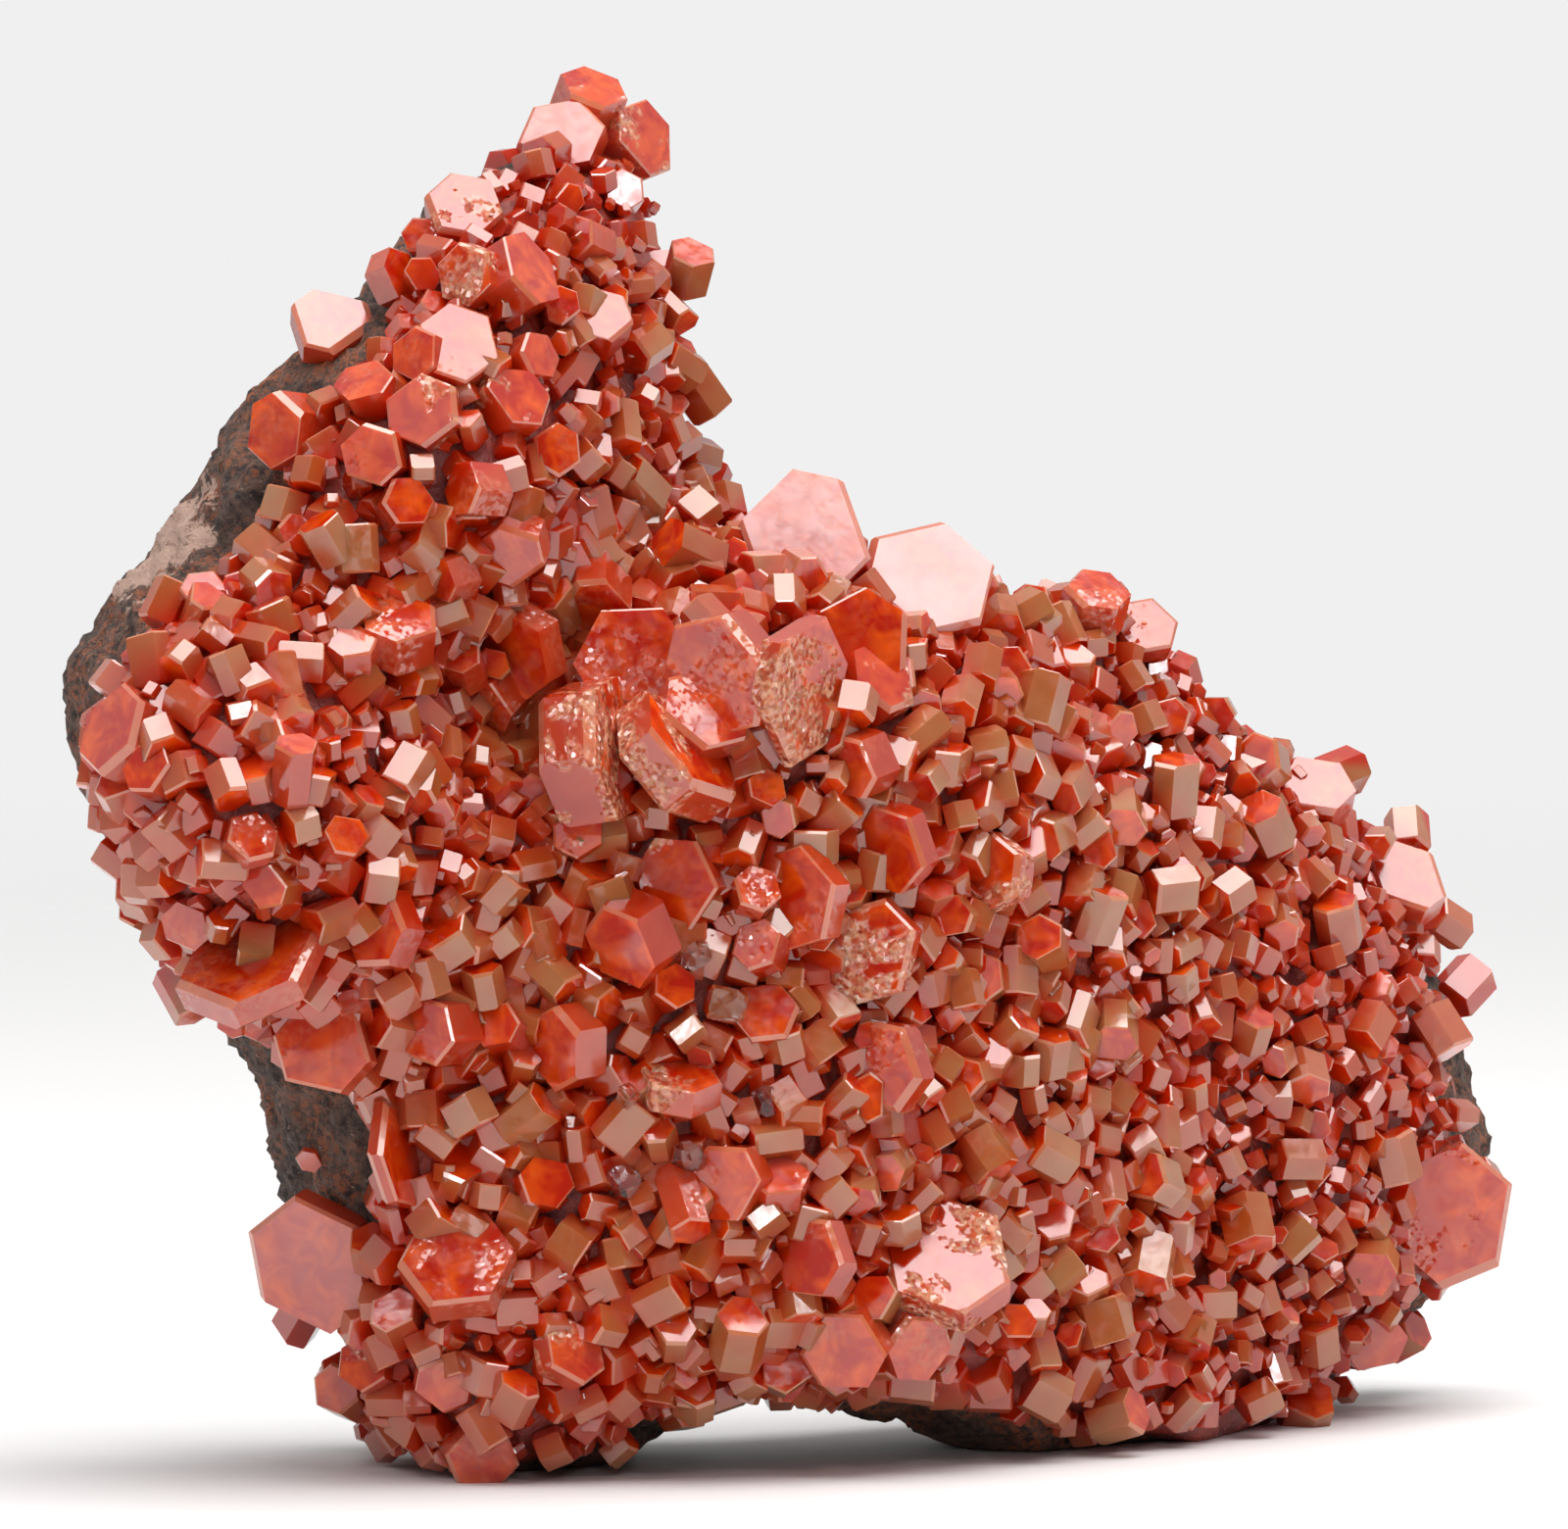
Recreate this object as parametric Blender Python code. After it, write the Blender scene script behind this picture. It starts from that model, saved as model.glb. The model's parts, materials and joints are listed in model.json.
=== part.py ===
"""Vanadinite specimen: hexagonal crystals grown together as a crust on a slab of dark rock.

The slab stands on two worn feet. Its face is nearly flat at the left and turns away
towards the back at the right. A blunt knob bulges at the far left and a narrow limb rises
at the upper left. The crust follows the face, and its largest crystals are listed by hand.

X runs to the right along the face, Y from the face into the rock, Z up. Everything is
modelled in millimetres, and the finished pieces are turned to metres.
"""

import math
import random

import bmesh
import bpy
from mathutils import Matrix, Vector, noise
from mathutils.bvhtree import BVHTree

MM = 0.001

# Driving sizes, in millimetres
GAP = 0.3              # clearance between pieces that touch
CRUST = 1.5            # height of the crust over the rock
ROOT = 2.0             # depth to which the crust is made before the rock is cut out of it
THICK = 13.5           # slab from face to back, low down
RIM = 4.0              # width over which the slab rounds off at its outline
CRUST_RIM = 1.3        # width over which the crust thins out at its outline
BLUNT = 0.16           # share of the thickness that is left at the very edge
HUB = (-6.2, 19.5)     # a point from which both outlines are seen whole
CENTRE = (0.55, 10.66)  # middle of the specimen's box, which becomes X = Y = 0

# Spokes and rings of the two slabs, as shares of the way from the hub to the outline
SPOKES = 46
RINGS = (0.2, 0.38, 0.56, 0.74, 0.88, 0.96, 1.0)

# The smaller crystals between the listed ones, on the face and round the edge
FACE_FILLERS = 60
EDGE_FILLERS = 11
CANDIDATES = 40        # places tried for each, of which the emptiest is taken
ACROSS = (-20.0, 21.0)  # where the face is searched, in X and in Z
UPWARD = (0.6, 39.0)
EDGE_UPWARD = (3.0, 36.0)  # the part of the edge that has them
EDGE_ROOM = 0.2        # least distance of one on the face from the outline
FILLER_WIDTH = (1.5, 2.2)
SEATING = 0.45         # share of a crystal's half height by which its centre stands clear
SEED = 13
CUTTER_SIDE = 100.0

# Outline of the rock slab (x, z), from the peak anticlockwise as seen from the front
ROCK_OUTLINE = [
    (-5.7, 38.3), (-10.2, 36.4), (-11.7, 34.2), (-15.7, 30.3), (-17.1, 27.5), (-20.1, 24.2),
    (-20.8, 22.0), (-20.2, 20.1), (-17.7, 15.3), (-15.1, 11.3), (-14.4, 7.1), (-13.2, 4.3),
    (-11.2, 1.2), (-9.8, -0.9), (-5.6, -0.9), (-2.8, 1.6), (1.4, 2.0), (4.3, 0.1),
    (5.7, -1.4), (13.0, -2.1), (16.0, 0.7), (20.2, 3.4), (21.5, 4.8), (21.3, 9.2),
    (18.9, 14.0), (16.1, 17.1), (11.6, 20.9), (7.1, 23.7), (2.8, 24.5), (-1.1, 25.6),
    (-2.8, 27.4), (-4.2, 32.1), (-4.4, 36.3),
]

# Outline of the crystal crust (x, z), in the same order
CRUST_OUTLINE = [
    (-5.6, 39.2), (-7.2, 38.0), (-9.2, 36.2), (-10.8, 34.4), (-11.0, 32.9), (-12.7, 31.1),
    (-14.3, 29.8), (-13.6, 28.2), (-14.2, 26.6), (-16.5, 25.3), (-18.9, 23.4), (-19.6, 21.2),
    (-18.8, 18.5), (-17.6, 15.7), (-16.9, 14.1), (-14.4, 12.4), (-11.5, 11.6), (-11.2, 8.8),
    (-13.4, 5.1), (-13.1, 2.0), (-11.1, 0.3), (-8.9, -0.8), (-6.7, 0.0), (-4.5, 1.3),
    (-2.5, 2.3), (0.6, 2.5), (2.8, 2.1), (4.5, 2.3), (6.2, 1.7), (8.2, 0.7),
    (9.4, -0.8), (14.1, -1.3), (15.6, 0.2), (18.0, 1.7), (20.5, 4.0), (20.8, 6.8),
    (20.2, 10.3), (19.4, 14.2), (18.7, 16.3), (16.5, 18.2), (14.4, 19.8), (11.9, 21.4),
    (11.2, 23.5), (9.1, 24.7), (6.5, 24.4), (4.2, 25.0), (1.4, 26.2), (-1.1, 26.5),
    (-2.7, 27.8), (-3.1, 29.7), (-3.2, 32.7), (-3.4, 35.0), (-3.7, 37.2),
]

# Hollows in the face: x, z, radius, depth
HOLLOWS = [(-7.8, 21.5, 2.2, 3.5), (-5.8, 24.3, 2.4, 3.0), (-3.6, 26.9, 2.6, 3.0)]

# The large crystals: x, z, width, height, then the direction of the crystal's axis
# as (right, up, towards the viewer)
LIMB = [
    (-5.6, 39.0, 2.1, 1.3, (0.3, 0.8, 0.5)), (-6.4, 37.9, 2.5, 0.9, (-0.1, 0.5, 0.85)),
    (-4.4, 37.9, 2.4, 1.2, (0.7, 0.3, 0.6)), (-4.7, 36.4, 1.3, 1.2, (0.2, 0.3, 0.9)),
    (-9.1, 36.0, 2.4, 1.0, (0.0, 0.6, 0.8)), (-10.2, 35.2, 1.3, 0.8, (-0.3, 0.4, 0.85)),
    (-11.1, 34.1, 1.8, 0.8, (0.75, 0.35, 0.55)), (-7.6, 34.2, 2.6, 1.2, (0.75, 0.5, 0.45)),
    (-8.8, 34.2, 1.9, 0.9, (-0.5, 0.1, 0.85)), (-5.6, 35.1, 1.3, 1.2, (-0.6, 0.3, 0.75)),
    (-6.4, 33.3, 1.2, 1.1, (0.2, 0.2, 0.95)), (-5.3, 32.8, 1.8, 1.2, (0.2, 0.55, 0.8)),
    (-9.2, 32.2, 2.5, 0.9, (0.15, 0.5, 0.85)), (-10.2, 32.0, 1.6, 0.8, (-0.5, 0.3, 0.8)),
    (-11.7, 31.0, 1.8, 1.0, (-0.3, 0.7, 0.6)), (-10.1, 30.4, 2.2, 0.9, (-0.15, 0.25, 0.95)),
    (-7.7, 30.7, 2.2, 1.0, (0.55, 0.45, 0.7)), (-7.2, 31.9, 1.5, 1.0, (0.7, 0.3, 0.65)),
]
SHOULDER = [
    (-14.0, 29.9, 2.2, 1.4, (-0.6, 0.1, 0.8)), (-11.4, 29.2, 1.8, 1.4, (-0.2, 0.1, 0.97)),
    (-10.7, 27.8, 1.5, 1.2, (0.3, 0.3, 0.9)), (-8.6, 28.3, 1.6, 1.3, (-0.75, 0.1, 0.65)),
    (-7.6, 26.6, 2.0, 1.2, (-0.15, -0.45, 0.88)), (-6.6, 29.3, 1.6, 1.2, (0.4, 0.2, 0.9)),
    (-9.4, 25.9, 1.5, 1.1, (-0.7, -0.2, 0.7)), (-10.8, 24.3, 2.4, 1.3, (0.1, 0.8, 0.6)),
    (-12.1, 23.7, 1.5, 1.2, (0.0, 0.75, 0.65)), (-9.0, 23.2, 1.2, 1.2, (-0.2, 0.6, 0.77)),
    (-7.4, 23.6, 2.7, 1.1, (-0.55, -0.3, 0.78)), (-8.2, 22.3, 2.0, 1.2, (-0.5, -0.5, 0.7)),
    (-5.4, 25.2, 2.2, 1.5, (0.0, -0.6, 0.8)), (-13.7, 20.6, 1.3, 1.9, (0.1, 0.85, 0.5)),
]
KNOB = [
    (-17.5, 20.5, 1.5, 1.2, (-0.5, 0.3, 0.8)), (-18.4, 21.5, 2.8, 1.2, (-0.75, 0.35, 0.55)),
    (-14.9, 18.6, 1.6, 0.9, (0.3, 0.4, 0.85)), (-12.5, 18.6, 1.3, 1.4, (0.4, 0.3, 0.85)),
    (-16.6, 16.2, 1.5, 1.0, (-0.4, -0.2, 0.9)), (-14.9, 15.0, 4.6, 1.0, (-0.35, 0.8, 0.5)),
    (-11.2, 16.0, 2.4, 1.0, (-0.65, 0.15, 0.75)),
]
LOWER_LEFT = [
    (-12.9, 12.6, 2.9, 0.9, (-0.25, 0.15, 0.95)), (-13.4, 6.2, 4.2, 0.9, (-0.38, -0.2, 0.9)),
    (-10.9, 9.4, 3.4, 0.5, (0.92, 0.2, 0.35)), (-9.7, 13.0, 2.0, 1.4, (-0.6, 0.0, 0.8)),
    (-7.9, 13.0, 1.4, 1.2, (-0.4, 0.3, 0.85)), (-6.1, 12.6, 2.6, 1.2, (-0.75, -0.1, 0.65)),
    (-6.9, 8.6, 1.6, 1.3, (0.3, 0.2, 0.9)), (-9.2, 6.2, 3.2, 1.3, (-0.1, 0.5, 0.85)),
    (-9.6, 3.0, 1.8, 0.9, (0.1, -0.2, 0.97)), (-11.1, 2.1, 1.6, 0.9, (-0.3, 0.2, 0.93)),
    (-8.6, 0.9, 2.1, 1.0, (0.1, -0.35, 0.93)), (-11.7, 3.2, 1.8, 1.0, (-0.5, 0.3, 0.8)),
    (-6.1, 3.8, 2.0, 0.9, (0.5, 0.3, 0.8)),
]
MIDDLE = [
    (-4.3, 23.4, 3.3, 1.1, (-0.1, 0.15, 0.98)), (-1.6, 23.1, 3.6, 1.5, (-0.45, -0.1, 0.88)),
    (-5.5, 20.8, 4.3, 1.7, (0.93, 0.15, 0.3)), (-3.1, 20.7, 4.0, 1.4, (0.72, 0.6, 0.35)),
    (-2.3, 21.9, 2.7, 1.0, (0.35, 0.5, 0.8)), (0.5, 22.6, 4.6, 0.7, (0.85, -0.1, 0.5)),
    (2.2, 23.9, 2.8, 1.3, (0.2, 0.1, 0.97)), (2.6, 22.6, 2.2, 1.0, (0.5, 0.5, 0.7)),
    (2.2, 20.5, 2.0, 1.3, (-0.6, -0.2, 0.75)), (-0.6, 19.7, 1.2, 1.1, (0.3, 0.3, 0.9)),
    (-5.8, 18.4, 1.5, 1.2, (-0.1, 0.3, 0.95)), (-2.9, 17.1, 2.7, 0.9, (-0.3, 0.0, 0.95)),
    (-0.9, 16.8, 1.4, 1.1, (0.2, 0.4, 0.9)), (0.6, 16.7, 3.0, 0.9, (-0.55, 0.0, 0.83)),
    (2.4, 15.1, 3.1, 0.9, (-0.3, 0.05, 0.95)), (3.1, 18.0, 2.7, 1.0, (-0.5, -0.2, 0.84)),
    (6.0, 17.1, 2.3, 0.9, (-0.5, 0.1, 0.85)), (-0.6, 13.3, 1.9, 0.9, (0.1, 0.4, 0.9)),
    (-0.6, 15.3, 1.6, 1.2, (-0.3, 0.3, 0.9)), (2.9, 11.9, 2.8, 0.9, (-0.5, 0.0, 0.85)),
    (-2.9, 11.4, 2.4, 0.9, (0.1, 0.9, 0.4)), (-4.2, 15.5, 2.7, 1.4, (-0.6, -0.35, 0.72)),
    (-3.2, 14.1, 1.3, 1.1, (0.3, 0.2, 0.9)), (-2.9, 8.1, 1.3, 2.1, (0.25, -0.75, 0.6)),
    (-0.3, 8.7, 2.0, 0.8, (0.1, 0.75, 0.65)), (-1.5, 8.7, 2.3, 1.0, (-0.4, 0.0, 0.9)),
]
LOWER_RIGHT = [
    (1.7, 3.8, 2.5, 1.3, (-0.2, -0.2, 0.95)), (3.6, 3.8, 2.1, 1.2, (0.4, -0.2, 0.9)),
    (4.7, 6.0, 3.9, 1.2, (0.0, 0.6, 0.8)), (0.9, 6.5, 2.7, 0.9, (-0.6, 0.1, 0.8)),
    (6.5, 4.1, 1.2, 1.1, (0.3, 0.4, 0.8)), (17.3, 2.4, 2.0, 1.2, (0.3, -0.2, 0.9)),
    (19.5, 5.9, 4.3, 1.2, (0.3, 0.0, 0.95)),
]
RIGHT_EDGE = [
    (18.4, 15.7, 2.6, 1.2, (0.2, 0.6, 0.8)), (15.6, 18.5, 2.4, 1.1, (0.1, 0.7, 0.7)),
    (8.9, 24.4, 2.1, 1.4, (0.2, 0.8, 0.5)), (10.5, 23.6, 2.0, 0.9, (0.2, 0.5, 0.85)),
    (0.6, 26.6, 3.9, 1.0, (0.05, 0.45, 0.9)), (4.1, 25.2, 4.3, 1.0, (0.12, 0.5, 0.86)),
]
LARGE_CRYSTALS = (LIMB + SHOULDER + KNOB + LOWER_LEFT + MIDDLE + LOWER_RIGHT + RIGHT_EDGE)
LONE_PLATE = (-12.9, 32.7, 2.5, 0.85, (0.05, 0.68, 0.73))
PLATE_TURN = math.radians(12.0)

ROCK_COLOUR = (0.085, 0.052, 0.042, 1.0)
CRYSTAL_COLOUR = (0.42, 0.07, 0.025, 1.0)
PLATE_COLOUR = (0.60, 0.16, 0.09, 1.0)


def clear_scene():
    for obj in list(bpy.data.objects):
        bpy.data.objects.remove(obj, do_unlink=True)


def material(name, colour, roughness):
    mat = bpy.data.materials.new(name)
    mat.use_nodes = True
    shader = mat.node_tree.nodes["Principled BSDF"]
    shader.inputs["Base Color"].default_value = colour
    shader.inputs["Roughness"].default_value = roughness
    shader.inputs["Metallic"].default_value = 0.0
    return mat


# Outlines

def edges_of(outline):
    return zip(outline, outline[1:] + outline[:1])


def reach(outline, angle):
    """Distance from the hub to the outline in one direction."""
    dx, dz = math.cos(angle), math.sin(angle)
    farthest = 0.0
    for (ax, az), (bx, bz) in edges_of(outline):
        ex, ez = bx - ax, bz - az
        wx, wz = ax - HUB[0], az - HUB[1]
        det = ex * dz - dx * ez
        if abs(det) < 1e-9:
            continue
        along = (ex * wz - ez * wx) / det
        share = (dx * wz - dz * wx) / det
        if along > 0.0 and -1e-9 <= share <= 1.0 + 1e-9:
            farthest = max(farthest, along)
    return farthest


def inset(outline, x, z):
    """Distance from a point to the outline, positive inside it."""
    nearest = min(
        segment_distance(x, z, a, b) for a, b in edges_of(outline)
    )
    dx, dz = x - HUB[0], z - HUB[1]
    inside = math.hypot(dx, dz) <= reach(outline, math.atan2(dz, dx))
    return nearest if inside else -nearest


def segment_distance(x, z, a, b):
    ex, ez = b[0] - a[0], b[1] - a[1]
    share = ((x - a[0]) * ex + (z - a[1]) * ez) / (ex * ex + ez * ez)
    share = min(1.0, max(0.0, share))
    return math.hypot(x - a[0] - share * ex, z - a[1] - share * ez)


# The form of the slab

def bump(x, z, cx, cz, rx, rz):
    return math.exp(-((x - cx) / rx) ** 2 - ((z - cz) / rz) ** 2)


def smooth(t):
    t = min(1.0, max(0.0, t))
    return t * t * (3.0 - 2.0 * t)


def bent_sheet(x, z):
    """The slab without knob or hollows: it turns away at the right, and the limb leans back."""
    y = math.hypot(14.0, 1.45 * max(0.0, x + 3.0)) - 14.0
    y += 0.04 * max(0.0, z - 27.0) ** 2
    return y + 0.9 * max(0.0, x + 8.0) * smooth((z - 25.0) / 4.0) * smooth((4.0 - x) / 6.0)


def face(x, z):
    """Depth of the slab's face, before it rounds off at its outline."""
    y = bent_sheet(x, z) - 6.0 * bump(x, z, -15.6, 19.8, 5.5, 6.0)
    y -= bump(x, z, -10.5, 30.0, 4.0, 4.0)
    for hx, hz, radius, depth in HOLLOWS:
        y += depth * bump(x, z, hx, hz, radius, radius)
    return y + 0.35 * noise.noise(Vector((x / 3.1, z / 3.1, 2.0)))


def thickness(x, z):
    return THICK - 0.24 * max(0.0, z - 5.0) - 0.25 * max(0.0, x - 8.0)


def rounding(distance, width):
    """1 well inside an outline, falling in a quarter circle to a blunt edge."""
    t = 1.0 - min(1.0, max(0.0, distance / width))
    return max(BLUNT, math.sqrt(1.0 - t * t))


def rock_front(x, z):
    half = 0.5 * thickness(x, z)
    return face(x, z) + half * (1.0 - rounding(inset(ROCK_OUTLINE, x, z), RIM))


def rock_face(x, z):
    """The face with the ledges and pits of bare rock."""
    grain = 0.45 * noise.noise(Vector((x / 2.2, z / 2.2, 9.0)))
    return rock_front(x, z) + grain


def rock_back(x, z):
    """The broken back: broad lumps with blunt ridges between them."""
    half = 0.5 * thickness(x, z)
    edge = rounding(inset(ROCK_OUTLINE, x, z), RIM)
    lumps = 2.4 * noise.noise(Vector((x / 8.0, z / 8.0, 17.0)))
    ridges = 1.8 * abs(noise.noise(Vector((x / 5.5, z / 5.5, 41.0))))
    depth = bent_sheet(x, z) + half * (1.0 + edge) + (lumps - ridges) * edge
    return max(depth, rock_face(x, z) + 2.0 * BLUNT * half)


def clearance(depth_at, x, z):
    """Shift in depth that leaves the gap square to a sloping face."""
    step = 0.3
    across = (depth_at(x + step, z) - depth_at(x - step, z)) / (2.0 * step)
    upward = (depth_at(x, z + step) - depth_at(x, z - step)) / (2.0 * step)
    return GAP * min(2.5, math.sqrt(1.0 + across ** 2 + upward ** 2))


def gap_front(x, z):
    return rock_face(x, z) - clearance(rock_face, x, z)


def gap_back(x, z):
    return rock_back(x, z) + clearance(rock_back, x, z)


def crust_front(x, z):
    edge = rounding(inset(CRUST_OUTLINE, x, z), CRUST_RIM)
    return rock_front(x, z) - CRUST * edge


def crust_back(x, z):
    return rock_front(x, z) + ROOT


# Meshes

def place(x, y, z):
    """A point of the tables with the middle of the specimen's box moved to X = Y = 0."""
    return Vector((x - CENTRE[0], y - CENTRE[1], z))


def new_object(name, bm):
    bmesh.ops.recalc_face_normals(bm, faces=bm.faces)
    mesh = bpy.data.meshes.new(name)
    bm.to_mesh(mesh)
    bm.free()
    obj = bpy.data.objects.new(name, mesh)
    bpy.context.scene.collection.objects.link(obj)
    return obj


def polar_grid(outline):
    """Rings of points (x, z) around the hub, the last of them on the outline."""
    angles = [2.0 * math.pi * i / SPOKES for i in range(SPOKES)]
    spokes = [(math.cos(a), math.sin(a), reach(outline, a)) for a in angles]
    return [
        [(HUB[0] + share * far * dx, HUB[1] + share * far * dz) for dx, dz, far in spokes]
        for share in RINGS
    ]


def flat_triangles(inner, outer, i):
    """Corners of the two triangles between four grid points, split along the level line."""
    corners = [(inner, i - 1), (outer, i - 1), (outer, i), (inner, i)]
    depths = [face(*ring[k]) for ring, k in corners]
    if abs(depths[0] - depths[2]) < abs(depths[1] - depths[3]):
        return (0, 1, 2), (0, 2, 3)
    return (1, 2, 3), (1, 3, 0)


def lens(name, outline, front_at, back_at, margin=0.0):
    """A closed slab between two depth fields, on spokes and rings around the hub.

    Both sheets have the same triangles, so they never cross where the slab is steep.
    The margin moves the outermost ring outwards.
    """
    bm = bmesh.new()
    grid = polar_grid(outline)
    sheets = []
    for depth_at in (front_at, back_at):
        hub = bm.verts.new(place(HUB[0], depth_at(*HUB), HUB[1]))
        rings = []
        for ring in grid:
            push = margin if ring is grid[-1] else 0.0
            verts = []
            for x, z in ring:
                out = Vector((x - HUB[0], 0.0, z - HUB[1])).normalized() * push
                verts.append(bm.verts.new(place(x + out.x, depth_at(x, z), z + out.z)))
            rings.append(verts)
        for i in range(SPOKES):
            bm.faces.new((hub, rings[0][i - 1], rings[0][i]))
            for k in range(len(grid) - 1):
                inner, outer = rings[k], rings[k + 1]
                corners = (inner[i - 1], outer[i - 1], outer[i], inner[i])
                for triangle in flat_triangles(grid[k], grid[k + 1], i):
                    bm.faces.new([corners[c] for c in triangle])
        sheets.append(rings[-1])
    front, back = sheets
    for i in range(SPOKES):
        bm.faces.new((front[i - 1], back[i - 1], back[i], front[i]))
    bmesh.ops.triangulate(bm, faces=bm.faces)
    return new_object(name, bm)


def axis_vector(direction):
    right, up, front = direction
    return Vector((right, -front, up)).normalized()


def prism(name, centre, axis, width, height, turn):
    """One hexagonal crystal, its width measured from corner to corner."""
    bm = bmesh.new()
    bmesh.ops.create_cone(
        bm, cap_ends=True, segments=6, radius1=0.5 * width, radius2=0.5 * width, depth=height,
    )
    rotation = axis.to_track_quat("Z", "Y").to_matrix().to_4x4()
    spin = Matrix.Rotation(turn, 4, "Z")
    bm.transform(Matrix.Translation(centre) @ rotation @ spin)
    return new_object(name, bm)


def crust_surface(crust):
    """A function that finds the point of the crust seen from the front at (x, z)."""
    tree = BVHTree.FromObject(crust, bpy.context.evaluated_depsgraph_get())

    def seen(x, z):
        start = place(x, -60.0, z)
        point, normal, _, _ = tree.ray_cast(start, Vector((0.0, 1.0, 0.0)))
        if point is None:
            point, normal, _, _ = tree.find_nearest(place(x, crust_front(x, z), z))
        return Vector((x, point.y + CENTRE[1], z)), normal

    return seen


def proud(width, height, axis, normal):
    """Height of a crystal's centre over the crust that leaves it rooted there."""
    along = abs(axis.dot(normal))
    half = 0.5 * (along * height + math.sqrt(max(0.0, 1.0 - along ** 2)) * width)
    return SEATING * half


def large_crystal(seen, x, z, width, height, direction):
    """A listed crystal, moved towards the viewer until it stands clear of the crust."""
    axis = axis_vector(direction)
    point, normal = seen(x, z)
    lift = proud(width, height, axis, normal) * min(1.5, 1.0 / max(0.1, -normal.y))
    return point - Vector((0.0, lift, 0.0)), axis, width, height


def face_spot(rng, seen):
    """A random place on the crust's face, or None beyond its outline."""
    x = rng.uniform(*ACROSS)
    z = rng.uniform(*UPWARD)
    if inset(CRUST_OUTLINE, x, z) < EDGE_ROOM:
        return None
    return seen(x, z)


def edge_spot(rng, _):
    """A random place where the crust wraps the slab's edge, or None where it stops short."""
    angle = rng.uniform(0.0, 2.0 * math.pi)
    far = reach(CRUST_OUTLINE, angle)
    x, z = HUB[0] + far * math.cos(angle), HUB[1] + far * math.sin(angle)
    if inset(ROCK_OUTLINE, x, z) > 0.0 or not EDGE_UPWARD[0] < z < EDGE_UPWARD[1]:
        return None
    slope_x = inset(CRUST_OUTLINE, x + 0.4, z) - inset(CRUST_OUTLINE, x - 0.4, z)
    slope_z = inset(CRUST_OUTLINE, x, z + 0.4) - inset(CRUST_OUTLINE, x, z - 0.4)
    normal = Vector((-slope_x, -0.3, -slope_z)).normalized()
    return Vector((x, rock_front(x, z) + rng.uniform(-1.0, 1.2), z)), normal


def filler_crystals(rng, seen, taken, spot_at, count):
    """Smaller crystals, each in the emptiest of a few random places."""
    found = []
    for _ in range(count):
        spots = [spot_at(rng, seen) for _ in range(CANDIDATES)]
        room = [
            (min((spot[0] - other).length - radius for other, radius in taken), number)
            for number, spot in enumerate(spots) if spot
        ]
        point, normal = spots[max(room)[1]]
        width = rng.uniform(*FILLER_WIDTH)
        height = rng.uniform(0.8, 1.15) * width
        sideways = normal.cross(Vector([rng.uniform(-1.0, 1.0) for _ in range(3)])).normalized()
        tilt = math.radians(rng.uniform(25.0, 80.0))
        axis = normal * math.cos(tilt) + sideways * math.sin(tilt)
        taken.append((point, 0.5 * width))
        found.append((point + normal * proud(width, height, axis, normal), axis, width, height))
    return found


def all_crystals(rng, crust):
    """Centre, axis, width and height of every crystal of the crust."""
    seen = crust_surface(crust)
    large = [large_crystal(seen, *crystal) for crystal in LARGE_CRYSTALS]
    taken = [(centre, 0.5 * width) for centre, _, width, _ in large]
    on_face = filler_crystals(rng, seen, taken, face_spot, FACE_FILLERS)
    return large + on_face + filler_crystals(rng, seen, taken, edge_spot, EDGE_FILLERS)


# Booleans

def evaluated(obj):
    """Replace an object's mesh by what its modifiers make of it."""
    depsgraph = bpy.context.evaluated_depsgraph_get()
    mesh = bpy.data.meshes.new_from_object(obj.evaluated_get(depsgraph))
    obj.modifiers.clear()
    obj.data = mesh


def combine(obj, operation, operands):
    """Join the operands to an object or cut them all out of it, in one step."""
    group = bpy.data.collections.new(operation)
    for operand in operands:
        group.objects.link(operand)
    mod = obj.modifiers.new(operation.title(), "BOOLEAN")
    mod.operation = operation
    mod.solver = "EXACT"
    mod.operand_type = "COLLECTION"
    mod.collection = group
    evaluated(obj)
    bpy.data.collections.remove(group)


def to_metres(obj):
    obj.data.transform(Matrix.Scale(MM, 4))


def drop(objects):
    for obj in objects:
        bpy.data.objects.remove(obj, do_unlink=True)


def keep_largest_body(obj):
    """Leave only the body with the most corners, in triangles."""
    bm = bmesh.new()
    bm.from_mesh(obj.data)
    unseen = set(bm.verts)
    bodies = []
    while unseen:
        stack = [unseen.pop()]
        body = list(stack)
        while stack:
            for edge in stack.pop().link_edges:
                for vert in edge.verts:
                    if vert in unseen:
                        unseen.remove(vert)
                        stack.append(vert)
                        body.append(vert)
        bodies.append(body)
    bodies.sort(key=len)
    for body in bodies[:-1]:
        bmesh.ops.delete(bm, geom=body, context="VERTS")
    bmesh.ops.triangulate(bm, faces=bm.faces)
    bm.to_mesh(obj.data)
    bm.free()


def floor_cutter():
    """Everything below the surface that the specimen stands on."""
    bm = bmesh.new()
    below = Matrix.Translation((0.0, 0.0, -0.5 * CUTTER_SIDE))
    bmesh.ops.create_cube(bm, size=CUTTER_SIDE, matrix=below)
    return new_object("floor_cutter", bm)


# Pieces

def make_rock(cutter):
    rock = lens("matrix_rock", ROCK_OUTLINE, rock_face, rock_back)
    combine(rock, "DIFFERENCE", [cutter])
    keep_largest_body(rock)
    rock.data.materials.clear()
    rock.data.materials.append(material("rock", ROCK_COLOUR, 0.85))


def rock_with_gap():
    """The rock with the clearance around it, to cut what grows on it."""
    return lens("rock_gap", ROCK_OUTLINE, gap_front, gap_back, margin=GAP)


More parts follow.
